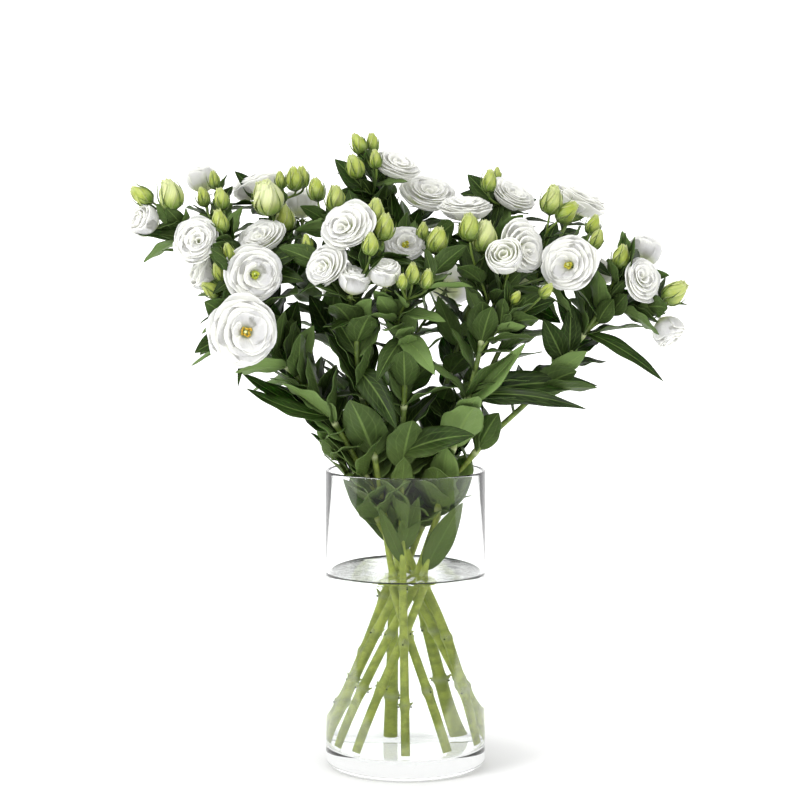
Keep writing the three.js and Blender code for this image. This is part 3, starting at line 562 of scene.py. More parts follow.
class Skin:
    """Collects grids of points into one mesh, with a map (across, along) and a tone for each point."""

    def __init__(self):
        self.points, self.maps, self.tones, self.faces, self.kinds = [], [], [], [], []
        self.count = 0

    def put(self, points, across, along, tone, faces, kind=0):
        """Adds points, their values, which are shaped to fit them, and the faces between them."""
        shape = points.shape[:-1]
        across, along, tone = (np.broadcast_to(v, shape).ravel() for v in (across, along, tone))
        self.points.append(points.reshape(-1, 3))
        self.maps.append(np.column_stack([across, along]))
        self.tones.append(tone)
        for group in faces:
            self.faces.append(group + self.count)
            self.kinds.append(np.full(len(group), kind))
        self.count += len(tone)

    def sheets(self, points, thick, across, along, tone, kind=0):
        """Closed thin sheets from points of shape (sheets, rows, columns, 3): the grid moved half the
        thickness each way along its normals, with a strip of faces round the border."""
        n, rows, cols, _ = points.shape
        normal = np.cross(np.gradient(points, axis=2), np.gradient(points, axis=1))
        normal /= np.linalg.norm(normal, axis=3, keepdims=True) + 1e-12
        both = np.stack([points + normal * thick / 2, points - normal * thick / 2], axis=1)
        here = np.arange(rows * cols).reshape(rows, cols)
        quad = np.stack([here[:-1, :-1], here[:-1, 1:], here[1:, 1:], here[1:, :-1]], -1).reshape(-1, 4)
        rim = np.concatenate([here[0, :-1], here[:-1, -1], here[-1, :0:-1], here[:0:-1, 0]])
        after = np.roll(rim, -1)
        total = rows * cols
        strip = np.stack([after, rim, rim + total, after + total], -1)
        one = np.vstack([quad, quad[:, ::-1] + total, strip])
        every = (one[None] + 2 * total * np.arange(n)[:, None, None]).reshape(-1, 4)
        across, along = (np.broadcast_to(v, (n, rows, cols))[:, None] for v in (across, along))
        tones = np.reshape(tone, (-1, 1, 1, 1)) + np.reshape([2.0, 0.0], (1, 2, 1, 1))
        self.put(both, across, along, tones, [every], kind)

    def tube(self, rings, along, tone, kind=0, across=0.5):
        """A closed skin over rings of shape (rings, points, 3), with a point at the middle of each
        end."""
        n, sides, _ = rings.shape
        here = np.arange(n * sides).reshape(n, sides)
        turned = np.roll(here, -1, axis=1)
        quad = np.stack([here[:-1], turned[:-1], turned[1:], here[1:]], -1).reshape(-1, 4)
        low = np.stack([np.full(sides, n * sides), turned[0], here[0]], -1)
        high = np.stack([np.full(sides, n * sides + 1), here[-1], turned[-1]], -1)
        points = np.vstack([rings.reshape(-1, 3), rings[0].mean(0), rings[-1].mean(0)])
        across = np.append(np.full(n * sides, across), [0.5, 0.5])
        along, tone = (np.broadcast_to(np.reshape(v, (-1, 1)), (n, sides)) for v in (along, tone))
        along, tone = (np.append(v, [v[0, 0], v[-1, 0]]) for v in (along, tone))
        self.put(points, across, along, tone, [quad, np.vstack([low, high])], kind)

    def rod(self, line, radius, sides, tone, along=None, **more):
        """A round tube along a line, its length mapped from 0 to 1 unless along says otherwise."""
        along = np.linspace(0, 1, len(line)) if along is None else along
        self.tube(stalk_rings(line, radius, sides), along, tone, **more)

    def make(self, name, materials):
        """The mesh as an object named name, in metres, smoothly shaded."""
        mesh = bpy.data.meshes.new(name)
        points = np.vstack(self.points) * MM
        lengths = np.concatenate([np.full(len(g), g.shape[1]) for g in self.faces])
        corners = np.concatenate([g.ravel() for g in self.faces]).astype(np.int32)
        mesh.vertices.add(len(points))
        mesh.vertices.foreach_set("co", points.ravel())
        mesh.loops.add(len(corners))
        mesh.loops.foreach_set("vertex_index", corners)
        mesh.polygons.add(len(lengths))
        starts = np.append(0, np.cumsum(lengths)[:-1]).astype(np.int32)
        mesh.polygons.foreach_set("loop_start", starts)
        mesh.polygons.foreach_set("material_index", np.concatenate(self.kinds).astype(np.int32))
        uv = mesh.uv_layers.new(name="blade")
        uv.data.foreach_set("uv", np.vstack(self.maps)[corners].ravel())
        tone = mesh.attributes.new("tone", "FLOAT", "POINT")
        tone.data.foreach_set("value", np.concatenate(self.tones).astype(np.float32))
        for material in materials:
            mesh.materials.append(material)
        mesh.update(calc_edges=True)
        mesh.validate()
        mesh.shade_smooth()
        piece = bpy.data.objects.new(name, mesh)
        bpy.context.scene.collection.objects.link(piece)
        return piece


def dress(piece, slot, *nodes):
    """The piece rides on the one body and stands for the CAD nodes, which it hides. Its slot is not used.
    """
    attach(piece, "root")
    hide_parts(*nodes)


def around(centre, e1, e2, radius, angle):
    """Points at a radius and angle round a centre, in the plane of e1 and e2."""
    radius, angle = np.asarray(radius)[..., None], np.asarray(angle)[..., None]
    return centre + e1 * radius * np.cos(angle) + e2 * radius * np.sin(angle)


def stalk_rings(points, radius, sides):
    """Rings of a round stalk along a row of points, each ring square to the line and turned as little
    as can be from the one before."""
    ways = tangents(points)
    e1, _ = basis(ways[0])
    firsts = []
    for t in ways:
        e1 = unit(e1 - t * (e1 @ t))
        firsts.append(e1)
    firsts = np.array(firsts)
    angle = 2 * np.pi * np.arange(sides) / sides
    reach = np.broadcast_to(np.asarray(radius, float).reshape(-1, 1), (len(points), sides))
    return (points[:, None] + firsts[:, None] * (reach * np.cos(angle))[..., None]
            + np.cross(ways, firsts)[:, None] * (reach * np.sin(angle))[..., None])


# ---- petals ----
# whorls of each kind of bloom, outermost first, in shares of its width: number of petals, radius and
# height of the rim, radius and height of the point its side bends over, half-angle of a petal, curl
WHORLS = {
    "open": [(5, 0.50, 0.20, 0.42, 0.00, 1.00, 0.045), (5, 0.465, 0.235, 0.31, 0.13, 1.00, 0.030),
             (5, 0.415, 0.26, 0.25, 0.18, 1.05, 0.020), (5, 0.35, 0.275, 0.17, 0.20, 1.15, 0.015),
             (4, 0.265, 0.28, 0.09, 0.19, 1.35, 0.010)],
    "rose": [(5, 0.50, 0.26, 0.46, 0.00, 1.00, 0.050), (5, 0.475, 0.305, 0.32, 0.14, 1.00, 0.035),
             (5, 0.42, 0.345, 0.25, 0.20, 1.05, 0.025), (5, 0.355, 0.375, 0.18, 0.24, 1.15, 0.020),
             (4, 0.275, 0.395, 0.11, 0.27, 1.30, 0.012), (3, 0.18, 0.40, 0.06, 0.29, 1.55, 0.005),
             (2, 0.08, 0.37, 0.04, 0.26, 1.80, 0.0)],
    "cup": [(5, 0.42, 0.66, 0.63, 0.20, 1.00, 0.050), (5, 0.38, 0.73, 0.55, 0.30, 1.00, 0.030),
            (5, 0.315, 0.775, 0.42, 0.42, 1.15, 0.020), (4, 0.225, 0.80, 0.26, 0.52, 1.35, 0.010),
            (3, 0.125, 0.79, 0.10, 0.58, 1.60, 0.0)],
}
# in shares of the bloom's width: how far each whorl slides sideways, the radius of a petal's foot and
# its drop, how far one edge lies outside the other, and how far the rim ruffles out and up
LEAN = 0.03
PETAL_FOOT = 0.04
FOOT_DROP = 0.02
OVERLAP = 0.024
RUFFLE_OUT = 0.009
RUFFLE_UP = 0.015
# the turn from whorl to whorl in radians, and the share of a petal's height where its rim starts to curl
WHORL_TURN = 0.63
BEND_FROM = 0.72
PETAL_ROWS = 11
PETAL_COLS = 13
PETAL_THICK = 0.5
BUD_THICK = 0.4
STAMENS = 11
SEPALS = 5


def scatter(draws, count, scale):
    """One even draw for each petal between minus and plus the scale, shaped to fit its grid."""
    return (scale * (2 * draws.random(count) - 1))[:, None, None]


def petal_grid(bloom, whorl, level, draws):
    """All petals of one whorl, as (petals, rows, columns, 3). In the plane through the bloom's axis a
    petal's side is a quadratic Bezier curve from the base over its belly to its rim; it spreads by an
    angle that widens upwards, its shoulders are rounded off by |u|^3.5, one edge lies outside its
    neighbour, and its rim curls out and ruffles in sine waves that grow with s^4. Every whorl slides
    a little farther to the bloom's own side, so that the rims bunch there as they do on a real one."""
    count, rim, top, belly, low, spread, curl = whorl
    w = bloom["width"]
    u = np.linspace(-1, 1, PETAL_COLS)[None, None, :]
    t = 1 - (1 - np.linspace(0, 1, PETAL_ROWS)) ** 1.35
    each = partial(scatter, draws, count)
    start = level * WHORL_TURN + draws.random()
    angle = (start + 2 * np.pi * np.arange(count) / count)[:, None, None] + each(0.2)
    phase = each(3.1)
    shoulder = 1 - 0.15 * np.abs(u) ** 3.5 - 0.02 * np.abs(u) + 0.016 * np.sin(5 * u + phase)
    s = t[None, :, None] * shoulder
    k0, k1, k2 = (1 - s) ** 2, 2 * s * (1 - s), s * s
    rims = rim * (0.99 + each(0.05))
    tops = top * (1 + each(0.06))
    radius = PETAL_FOOT * k0 + belly * (1 + each(0.05)) * k1 + rims * k2
    height = -FOOT_DROP * k0 + low * k1 + tops * k2
    bend = np.maximum(0, (s - BEND_FROM) / (1 - BEND_FROM)) ** 2 * (curl + each(0.02))
    radius = radius + bend + OVERLAP * u * s
    height = height - 0.5 * bend
    slow = np.sin(np.pi * (1.4 * u + each(0.5)) + phase)
    waves = s ** 4 * (slow + 0.4 * np.sin(np.pi * 3.7 * u + 2 * phase)) * (0.3 + 1.4 * rim)
    radius = radius + RUFFLE_OUT * waves
    height = height + RUFFLE_UP * waves
    turned = angle + u * spread * (0.55 + 0.45 * np.sin(np.pi / 2 * np.minimum(1, s / 0.6)))
    slide = bloom["side"] * LEAN * level * w * s[..., None]
    points = around(bloom["base"] + bloom["f"] * (height * w)[..., None] + slide, bloom["e1"],
                    bloom["e2"], radius * w, turned)
    return points, (u + 1) / 2, s


def bloom_skin(bloom, seed):
    """One double bloom: its petals whorl by whorl, each a thin closed sheet."""
    draws = np.random.default_rng(seed)
    skin = Skin()
    towards = BUNCHED.get(bloom["name"], [6 * draws.random() - 3, -6, -8])
    bloom["side"] = unit(towards - bloom["f"] * (bloom["f"] @ towards))
    green = GREENNESS.get(bloom["name"], 0.0)
    whorls = WHORLS[bloom["kind"]]
    for level, whorl in enumerate(whorls):
        points, across, along = petal_grid(bloom, whorl, level, draws)
        tone = np.clip(green + 0.12 * level / len(whorls), 0, 1) * np.ones(len(points))
        skin.sheets(points, PETAL_THICK, across, along, tone)
    return skin


# the pistil's radius along it, from ovary over style to tip, and the radii of thread and anther
PISTIL_SHARES = [0, 0.25, 0.5, 0.62, 0.8, 0.92, 1]
PISTIL_RADII = [1.5, 2.1, 1.5, 0.8, 0.8, 1.6, 0.7]
FILAMENT_RADIUS = 0.35
ANTHER_RADII = [0.3, 0.75, 0.95, 1.0, 0.95, 0.75, 0.3]
ANTHER_HALF = 1.7
ANTHER_BOW = 0.7


def centre_skin(bloom, seed):
    """The stamens crowded round a pistil in the throat of an open bloom, which leans with the throat:
    thin filaments that each end in a bowed anther, and a green ovary that narrows to a style with a
    thicker tip. All are tubes whose radius follows a table along a line."""
    skin = Skin()
    base, f, e1, e2, w = (bloom[k] for k in ("base", "f", "e1", "e2", "width"))
    lean = bloom["side"] * 0.06 * w
    ripe = RIPENESS[bloom["name"]]
    shares = np.linspace(0, 1, 12)
    rise = (0.05 + 0.17 * shares) * w
    thick = np.interp(shares, PISTIL_SHARES, PISTIL_RADII)
    skin.rod(base + f * rise[:, None] + lean * shares[:, None], thick, 10, 0.5, kind=1)
    draws = np.random.default_rng(seed)
    for k in range(STAMENS):
        angle = 2 * np.pi * (k + 0.6 * draws.random()) / STAMENS
        out = outwards(e1, e2, angle)
        foot = base + out + f * 0.06 * w
        knob = base + lean + out * (0.03 + 0.05 * draws.random()) * w
        knob = knob + f * (0.13 + 0.09 * draws.random()) * w
        line = bent_line(foot, foot + f * 0.05 * w, knob - f * 0.03 * w, knob, 6)
        skin.rod(line, FILAMENT_RADIUS, 5, 0.2, kind=1)
        way = unit(np.cross(out, f) + 1.2 * (draws.random() - 0.5) * out + (draws.random() - 0.3) * f)
        reach = np.linspace(-1, 1, len(ANTHER_RADII))[:, None]
        pod = knob + way * ANTHER_HALF * reach - out * ANTHER_BOW * reach ** 2
        skin.rod(pod, ANTHER_RADII, 7, ripe * (0.7 + 0.3 * draws.random()))
    return skin


# ---- green parts ----
# how far a leaf's sides cup down and its edges wave, in shares of half its width
LEAF_CUP = 0.1
LEAF_WAVE = 0.1
# the range of the twist at its tip, in radians, and the half width of its point
LEAF_TWIST = 0.5
LEAF_POINT = 0.12


def leaf_skin(leaves, seed):
    """Every leaf of a stem: rows across the midrib curve, folded up from it, cupped by |u|^2, waved
    along the edges by a sine of the length, and twisted a little towards the tip."""
    draws = np.random.default_rng(seed)
    skin = Skin()
    s = 1 - (1 - np.linspace(0, 1, 18)) ** 1.15
    u = np.linspace(-1, 1, 9)
    grids, tones = [], []
    for leaf in leaves:
        p, _, side, up, half = leaf_at(leaf, s)
        half = np.maximum(half, LEAF_POINT)
        twist = (draws.random() - 0.5) * LEAF_TWIST * s[:, None]
        side, up = side * np.cos(twist) + up * np.sin(twist), up * np.cos(twist) - side * np.sin(twist)
        phase, waves = 6.3 * draws.random(), 1.5 + 1.5 * draws.random()
        wave = LEAF_WAVE * np.sin(2 * np.pi * waves * s[:, None] + phase + 0.8 * np.sign(u)) * u ** 2
        lift = np.abs(u) * math.sin(LEAF_FOLD) - LEAF_CUP * u ** 2 + wave
        out = u * math.cos(LEAF_FOLD)
        grids.append(p[:, None] + side[:, None] * (half[:, None] * out)[..., None]
                     + up[:, None] * (half[:, None] * lift)[..., None])
        tones.append(draws.random())
    skin.sheets(np.array(grids), LEAF_THICK, (u + 1) / 2, s[:, None], TONE_MOST * np.array(tones))
    return skin


def awl(skin, line, radius):
    """A slender pointed sepal along a line: a tube of six sides that thins towards its tip."""
    shares = np.linspace(0, 1, len(line))
    skin.rod(line, radius * (1 - shares ** 1.5) + 0.12, 6, 0.35, kind=1)


# the lengths between which a bud loosens and whitens before it opens
LOOSENS = (15, 27)
WHITENS = (24, 32)
BUD_TWIST = 1.5
# a bud's outline: shares of its length, and radius there in shares of its width
BUD_SHARES = [0, 0.04, 0.12, 0.24, 0.38, 0.52, 0.66, 0.78, 0.88, 0.95, 1]
BUD_REACH = [0.16, 0.29, 0.42, 0.52, 0.56, 0.55, 0.49, 0.41, 0.31, 0.2, 0.1]
# whorls of a bud: number of petals, share of its width, share of its length, half-angle of a petal
BUD_WHORLS = [(5, 1.0, 0.93, 0.85), (4, 0.84, 0.97, 1.1), (3, 0.62, 0.95, 1.5)]
# the rolled core that closes a bud's tip: shares of its length, and radius in shares of its width
CORE_SHARES = [0.3, 0.5, 0.7, 0.84, 0.92, 0.98]
CORE_REACH = [0.3, 0.3, 0.25, 0.17, 0.1, 0.03]


def bud_shape(bud, skin, draws):
    """A bud of petals rolled round each other: each petal's radius follows a smooth profile, one edge
    lies outside its neighbour, and it winds up the bud. The rims are toothed by a sine of the place
    across, and the tips of a bud about to open turn out by s^8. A rolled core closes the tip."""
    length, f = bud["length"], bud["f"]
    width = bud_width(length)
    loose = float(np.interp(length, LOOSENS, (0, 1)))
    whitish = float(np.interp(length, WHITENS, (0, 0.8))) + 0.12 * draws.random()
    u = np.linspace(-1, 1, 9)[None, None, :]
    t = np.linspace(0, 1, 13)[None, :, None]
    start = 6.3 * draws.random()
    for level, (count, wide, tall, spread) in enumerate(BUD_WHORLS):
        each = partial(scatter, draws, count)
        angle = (start + level * 0.6 + 2 * np.pi * np.arange(count) / count)[:, None, None] + each(0.12)
        teeth = 0.035 * np.sin(7.5 * u + each(3.1)) * np.minimum(1, length / 22)
        s = t * (1 - 0.14 * np.abs(u) ** 2.5 + teeth * t ** 4)
        reach = np.interp(s, BUD_SHARES, BUD_REACH) * wide * (0.97 + 0.1 * u * np.minimum(1, 3 * s))
        reach = reach + (0.05 + 0.05 * loose) * (1 + each(0.8)) * s ** 8
        height = length * tall * (s * (1 + each(0.05)) + 0.02 * level)
        turned = angle + u * spread + BUD_TWIST * s
        points = around(bud["base"] + f * height[..., None], bud["e1"], bud["e2"], reach * width, turned)
        skin.sheets(points, BUD_THICK, (u + 1) / 2, s, TONE_MOST * whitish * np.ones(count))
    core = bud["base"] + f * (length * np.array(CORE_SHARES))[:, None]
    skin.rod(core, width * np.array(CORE_REACH), 8, TONE_MOST * whitish, CORE_SHARES, across=0.25)
    return width


def bud_sepals(bud, width, skin, draws):
    """Five narrow sepals that leave the foot of the bud and stand off it, more so at their tips."""
    length, f = bud["length"], bud["f"]
    v = np.linspace(0, 1, 9)
    for k in range(SEPALS):
        out = outwards(bud["e1"], bud["e2"], 2 * np.pi * (k + 0.4 * draws.random()) / SEPALS)
        tall = length * (0.6 + 0.5 * draws.random())
        reach = np.interp(v * tall / length, BUD_SHARES, BUD_REACH) * width + 0.5
        reach = np.maximum(reach, 0.45 * width * v) + 3.5 * v ** 1.6 * (0.2 + draws.random())
        reach[0] = 0.6
        line = bud["base"] + f * (v * tall - 0.5)[:, None] + out * reach[:, None]
        awl(skin, line, 0.55 + 0.008 * length)


def bloom_sepals(bloom, skin, draws):
    """Five long narrow sepals that spread below a bloom and bend back at their tips."""
    base, f, w = bloom["base"], bloom["f"], bloom["width"]
    for k in range(SEPALS):
        out = outwards(bloom["e1"], bloom["e2"], 2 * np.pi * k / SEPALS)
        foot = base - f * (0.03 * w + 3)
        tip = foot + out * SEPAL_REACH * w * (0.95 + 0.1 * draws.random()) + f * 0.5
        line = bent_line(foot, foot + out * 3, tip - out * 4 - f * 0.5, tip, 8)
        awl(skin, line, 0.8)


# a stalk's swelling at a node, how far the swelling and the pale ring reach, and the sides of its skin
NODE_SWELL = 0.3
SWELL_REACH = 3.2
RING_REACH = 1.6
STALK_SIDES = 14
# the heights between which a soaked stalk thins to its own width, and its widths there in shares
SOAKED = ([60, 230], [1.12, 1.0])
# the first scar's height, the steps between scars, each with its range, and the bare length above them
SCAR_FIRST = (52, 30)
SCAR_STEP = (47, 8)
SCAR_FREE = 12
STUB_RADII = [1.5, 1.5, 1.1, 0.8, 0.3]
SPECK_RADII = [0.5, 0.9, 0.4]
# the cup under a bloom: heights below its base, and radii
CUP_RISE = [-6.5, -5, -3.6, -2.2, -0.6]
CUP_RADII = [1.4, 1.9, 2.5, 2.7, 1.2]


def stalk_skin(stem, seed):
    """A stem's stalk and branches as round tubes along their lines. The stalk swells at the nodes where
    leaves sit, by exp(-d^2) of the distance. Below are the scars and stubs of stripped leaves; a cup
    and sepals stand under each bloom. Gives the draws on, for the buds."""
    draws = np.random.default_rng(seed)
    skin = Skin()
    points = stem["points"]
    along = np.linspace(0, 1, len(points))
    heights = points[:, 2]
    first, step = (least + more * draws.random() for least, more in (SCAR_FIRST, SCAR_STEP))
    low_nodes = np.arange(first, NODE_FIRST - SCAR_FREE, step)
    levels = np.append(low_nodes, heights[stem["nodes"]])
    near = np.abs(heights[:, None] - levels)
    bulge, pale = (np.exp(-(near / reach) ** 2).max(1) for reach in (SWELL_REACH, RING_REACH))
    radius = (STEM_FOOT + (STEM_TOP - STEM_FOOT) * along) * (1 + NODE_SWELL * bulge)
    radius = radius * np.interp(heights, *SOAKED)
    skin.rod(points, radius, STALK_SIDES, pale * 0.9)
    for level in low_nodes:
        k = int(np.argmin(np.abs(heights - level)))
        up = stem["ways"][k]
        turn = 6.3 * draws.random()
        for half in (0, math.pi):
            out = outwards(*basis(up), turn + half)
            foot = points[k] + out * radius[k] * 0.7
            way = out + 0.9 * up * (0.5 + draws.random())
            line = foot + way * np.linspace(0, 2.2 + 2.2 * draws.random(), len(STUB_RADII))[:, None]
            skin.rod(line, STUB_RADII, 7, 0.6)
            speck = foot + (0.8 * out + 0.5 * unit(np.cross(out, up))) * radius[k] * 0.5
            speck = speck + up * np.array([-2.2, -1.4, -0.6])[:, None]
            skin.rod(speck, SPECK_RADII, 6, 0.0, kind=1)
    for branch in stem["branches"]:
        line, r = branch["line"], branch["radius"]
        widths = np.linspace(r * 1.2, r, len(line)) * (1 + 0.5 * np.exp(-np.arange(len(line)) / 1.2))
        skin.rod(line, widths, 9, 0.0, np.linspace(0.6, 1, len(line)))
    for bloom in stem["blooms"]:
        rise = np.array(CUP_RISE) - 0.03 * bloom["width"]
        cup = bloom["base"] + bloom["f"] * rise[:, None]
        skin.rod(cup, CUP_RADII, 10, 0.2, np.linspace(0.8, 1, len(CUP_RADII)))
        bloom_sepals(bloom, skin, draws)
    return skin, draws


def bud_skin(stem, draws):
    """All buds of a stem with their sepals."""
    skin = Skin()
    for bud in stem["buds"]:
        width = bud_shape(bud, skin, draws)
        bud_sepals(bud, width, skin, draws)
    return skin


# ---- glass and water ----
SIDES = 128


def turned_skin(profile):
    """A surface of revolution: a profile of radius and height carried once round the axis."""
    radius, height = np.array(profile, float).T[:, :, None]
    angle = 2 * np.pi * np.arange(SIDES) / SIDES
    rings = np.stack([radius * np.cos(angle), radius * np.sin(angle), height + 0 * angle], -1)
    skin = Skin()
    skin.tube(rings, np.linspace(0, 1, len(rings)), 0.5)
    return skin


def arc(centre, radii, first, last, steps):
    """Points of radius and height on an arc of an ellipse between two angles in degrees."""
    angle = np.radians(np.linspace(first, last, steps))
    return [[centre[0] + radii[0] * math.cos(a), centre[1] + radii[1] * math.sin(a)] for a in angle]


def floor_height(radius, sunk=0.0):
    """The vase's inner floor, which dips towards its middle by a parabola of the radius."""
    return VASE_FLOOR - sunk - FLOOR_DIP * (1 - (radius / DIP_RADIUS) ** 2)


def corner_arc(reach, height, first, last):
    """The round corner between a wall at this reach and a floor at this height."""
    return arc((reach - VASE_CORNER, height + VASE_CORNER), (VASE_CORNER, VASE_CORNER), first, last, 9)


def vase_profile():
    """From the middle of the underside, round the foot, up the outside, over the melted rim, down the
    inside, round the inner corner and in over a floor that dips a little in its middle."""
    half = VASE_WALL / 2
    foot = corner_arc(VASE_RADIUS, 0, -90, 0)
    rim = arc((VASE_RADIUS - half, VASE_HEIGHT - half), (half, half), 0, 180, 11)
    corner = corner_arc(INNER_RADIUS, VASE_FLOOR, 0, -90)
    dips = [[r, floor_height(r)] for r in (45, 30, 15, 1)]
    return [[1, 0.0], [30, 0.0], *foot, [VASE_RADIUS, 90], [VASE_RADIUS, 180], *rim,
            [INNER_RADIUS, 180], [INNER_RADIUS, 90], *corner, *dips]


# how far the water's skin lies in the glass, so that no air shows between, how high the water climbs the
# wall, how far from the wall that fades, and the inset, lift, height and thickness of the dark band of
# painted shade along the water line
SUNK = 0.15
CLIMB = 1.6
CLIMB_REACH = 1.3
EDGE_INSET = 0.35
EDGE_LIFT = 0.1
EDGE_HEIGHT = 1.0
EDGE_THICK = 0.3


def water_profile():
    """The glass's inside from the middle of the floor to the wall, and a level top that climbs at the
    wall by an exponential of the distance from it."""
    r = INNER_RADIUS + SUNK
    corner = corner_arc(r, VASE_FLOOR - SUNK, -90, 0)
    dips = [[d, floor_height(d, SUNK)] for d in (1, 15, 30, 45)]
    steps = (0.05, 0.6, 1.2, 2, 3, 4.5, 7)
    climb = [[r - d, WATER_LEVEL + CLIMB * math.exp(-d / CLIMB_REACH)] for d in steps]
    return [*dips, *corner, [r, 90], [r, WATER_LEVEL - 3], *climb, [40, WATER_LEVEL], [1, WATER_LEVEL]]


def painted_water_line(skin):
    """Painted shade for the dark line that the water shows where it climbs the glass: a dark band 1 mm
    high, closed round the axis, inside the climbing film."""
    turn = np.linspace(0, 2 * np.pi, SIDES + 1)
    rise = np.array([EDGE_LIFT, EDGE_LIFT + EDGE_HEIGHT])[:, None] + WATER_LEVEL
    reach = (INNER_RADIUS - EDGE_INSET) * np.ones((2, 1))
    band = np.stack([reach * np.cos(turn), reach * np.sin(turn), rise + 0 * turn], -1)[None]
    skin.sheets(band, EDGE_THICK, 0.0, 0.0, 0.5, kind=1)


# ---- materials ----
GROUPS = {}
MATERIALS = {}
PETAL_CLOUD = (0.84, 0.85, 0.77)
POLLEN_BROWN = (0.40, 0.20, 0.01)
# painted shade: the colour of the dark band along the water line
WATER_LINE_SHADE = (0.14, 0.17, 0.12)
GLASS_IOR = 1.5
WATER_IOR = 1.33
RIPPLES = 0.0006


class Shading:
    """Adds nodes to one node tree and links them."""

    def __init__(self, tree):
        self.tree = tree

    def add(self, kind, settings=(), **inputs):
        """A node with its settings and inputs; i0 is its first input, and underscores are spaces."""
        node = self.tree.nodes.new("ShaderNode" + kind)
        for name, value in dict(settings).items():
            setattr(node, name, value)
        for name, value in inputs.items():
            key = int(name[1:]) if name[0] == "i" and name[1:].isdigit() else name.replace("_", " ")
            self.join(value, node.inputs[key])
        return node

    def join(self, value, socket):
        """Links a node's output to the socket, or sets the socket to a number or colour."""
        if isinstance(value, bpy.types.NodeSocket):
            self.tree.links.new(value, socket)
        elif hasattr(value, "__len__") and len(value) == 3 and socket.type == "RGBA":
            socket.default_value = (*value, 1)
        else:
            socket.default_value = value

    def mix(self, share, first, second):
        return self.add("Mix", {"data_type": "RGBA"}, i0=share, i6=first, i7=second).outputs[2]

    def calc(self, way, first, second=0.0, clamp=False):
        return self.add("Math", {"operation": way, "use_clamp": clamp}, i0=first, i1=second).outputs[0]

    def times(self, first, second, clamp=False):
        return self.calc("MULTIPLY", first, second, clamp)

    def less(self, first, second):
        return self.calc("SUBTRACT", first, second)

    def gap(self, first, second):
        return self.calc("ABSOLUTE", self.less(first, second))

    def ramp(self, value, low, high, out_low=0.0, out_high=1.0):
        """The value's smooth step between two limits, from one output to the other."""
        return self.add("MapRange", {"interpolation_type": "SMOOTHSTEP"}, Value=value, From_Min=low,
                        From_Max=high, To_Min=out_low, To_Max=out_high).outputs[0]

    def place(self, space="Object"):
        """The place in coordinates of a space, as one value and as x, y and z."""
        place = self.add("TexCoord").outputs[space]
        return place, self.add("SeparateXYZ", Vector=place).outputs

    def tone(self):
        return self.add("Attribute", {"attribute_name": "tone"}).outputs["Fac"]

    def blade(self):
        """Across and along of the piece's own map."""
        parts = self.add("SeparateXYZ", Vector=self.add("UVMap", {"uv_map": "blade"}).outputs[0])
        return parts.outputs[0], parts.outputs[1]

    def group(self, name, **inputs):
        """A node group's value at the given inputs."""
        return self.add("Group", {"node_tree": GROUPS[name]}, **inputs).outputs[0]


class Finish(Shading):
    """A material of one Principled shader with the given values."""

    def __init__(self, name, **inputs):
        self.material = bpy.data.materials.new(name)
        self.material.use_nodes = True
        self.material.node_tree.nodes.clear()
        super().__init__(self.material.node_tree)
        self.shader = self.add("BsdfPrincipled", **inputs)
        self.add("OutputMaterial", Surface=self.shader.outputs[0])

    def give(self, **inputs):
        for name, value in inputs.items():
            self.join(value, self.shader.inputs[name.replace("_", " ")])

    def bump(self, height, distance, strength=1.0):
        node = self.add("Bump", Height=height, Strength=strength, Distance=distance)
        self.give(Normal=node.outputs["Normal"])


def new_group(name, inputs):
    """An empty node group with number inputs and one number output: its nodes, inputs and output."""
    tree = GROUPS[name] = bpy.data.node_groups.new(name, "ShaderNodeTree")
    for key, value in inputs.items():
        socket = tree.interface.new_socket(key, in_out="INPUT", socket_type="NodeSocketFloat")
        socket.default_value = value
    tree.interface.new_socket("Value", in_out="OUTPUT", socket_type="NodeSocketFloat")
    given, result = tree.nodes.new("NodeGroupInput"), tree.nodes.new("NodeGroupOutput")
    return Shading(tree), given.outputs, result.inputs[0]


def mottle_group():
    """Soft cloudy patches on Object coordinates, from 0 to 1."""
    s, given, result = new_group("mottle", {"Scale": 40.0, "Low": 0.35, "High": 0.65})
    place = s.add("TexCoord").outputs["Object"]
    noise = s.add("TexNoise", Vector=place, Scale=given["Scale"], Detail=3.0).outputs["Fac"]
    s.join(s.ramp(noise, given["Low"], given["High"]), result)


def vein_group():
    """Fine lines that run along a blade: the power of |sin| of the place across, times a count."""
    s, given, result = new_group("veins", {"Across": 0.5, "Count": 9.0, "Sharpness": 6.0})
    turns = s.times(s.times(given["Across"], given["Count"]), math.pi)
    wave = s.calc("ABSOLUTE", s.calc("SINE", turns))
    s.join(s.calc("POWER", wave, given["Sharpness"]), result)


def tones_split(s):
    """A sheet's tone holds its shade from 0 to 1, plus 2 on its upper side."""
    tone = s.tone()
    upper = s.calc("GREATER_THAN", tone, 1.5)
    return s.less(tone, s.times(upper, 2.0)), upper


def petal_material(colours):
    """White, greener in the throat and in young blooms, soft and veined. A faint glow stands for the
    light that goes on through thin petals."""
    s = Finish("petal", Roughness=0.55, Specular_IOR_Level=0.3, Subsurface_Weight=0.85,
               Subsurface_Radius=(0.008, 0.008, 0.007), Subsurface_Scale=1.0,
               Emission_Color=(1.0, 1.0, 0.96), Emission_Strength=0.045)
    across, along = s.blade()
    green, _ = tones_split(s)
    throat = s.ramp(along, 0.56, 0.2)
    flush = s.times(green, s.ramp(along, 1.05, 0.3), clamp=True)
    mask = s.calc("MAXIMUM", throat, flush, clamp=True)
    cloud = s.group("mottle", Scale=60.0)
    white = s.mix(s.times(cloud, 0.2), colours.petal_white, PETAL_CLOUD)
    s.give(Base_Color=s.mix(mask, white, colours.petal_green))
    veins = s.group("veins", Across=across, Count=15.0, Sharpness=3.0)
    s.bump(veins, 0.0002, 0.35)
    return s.material


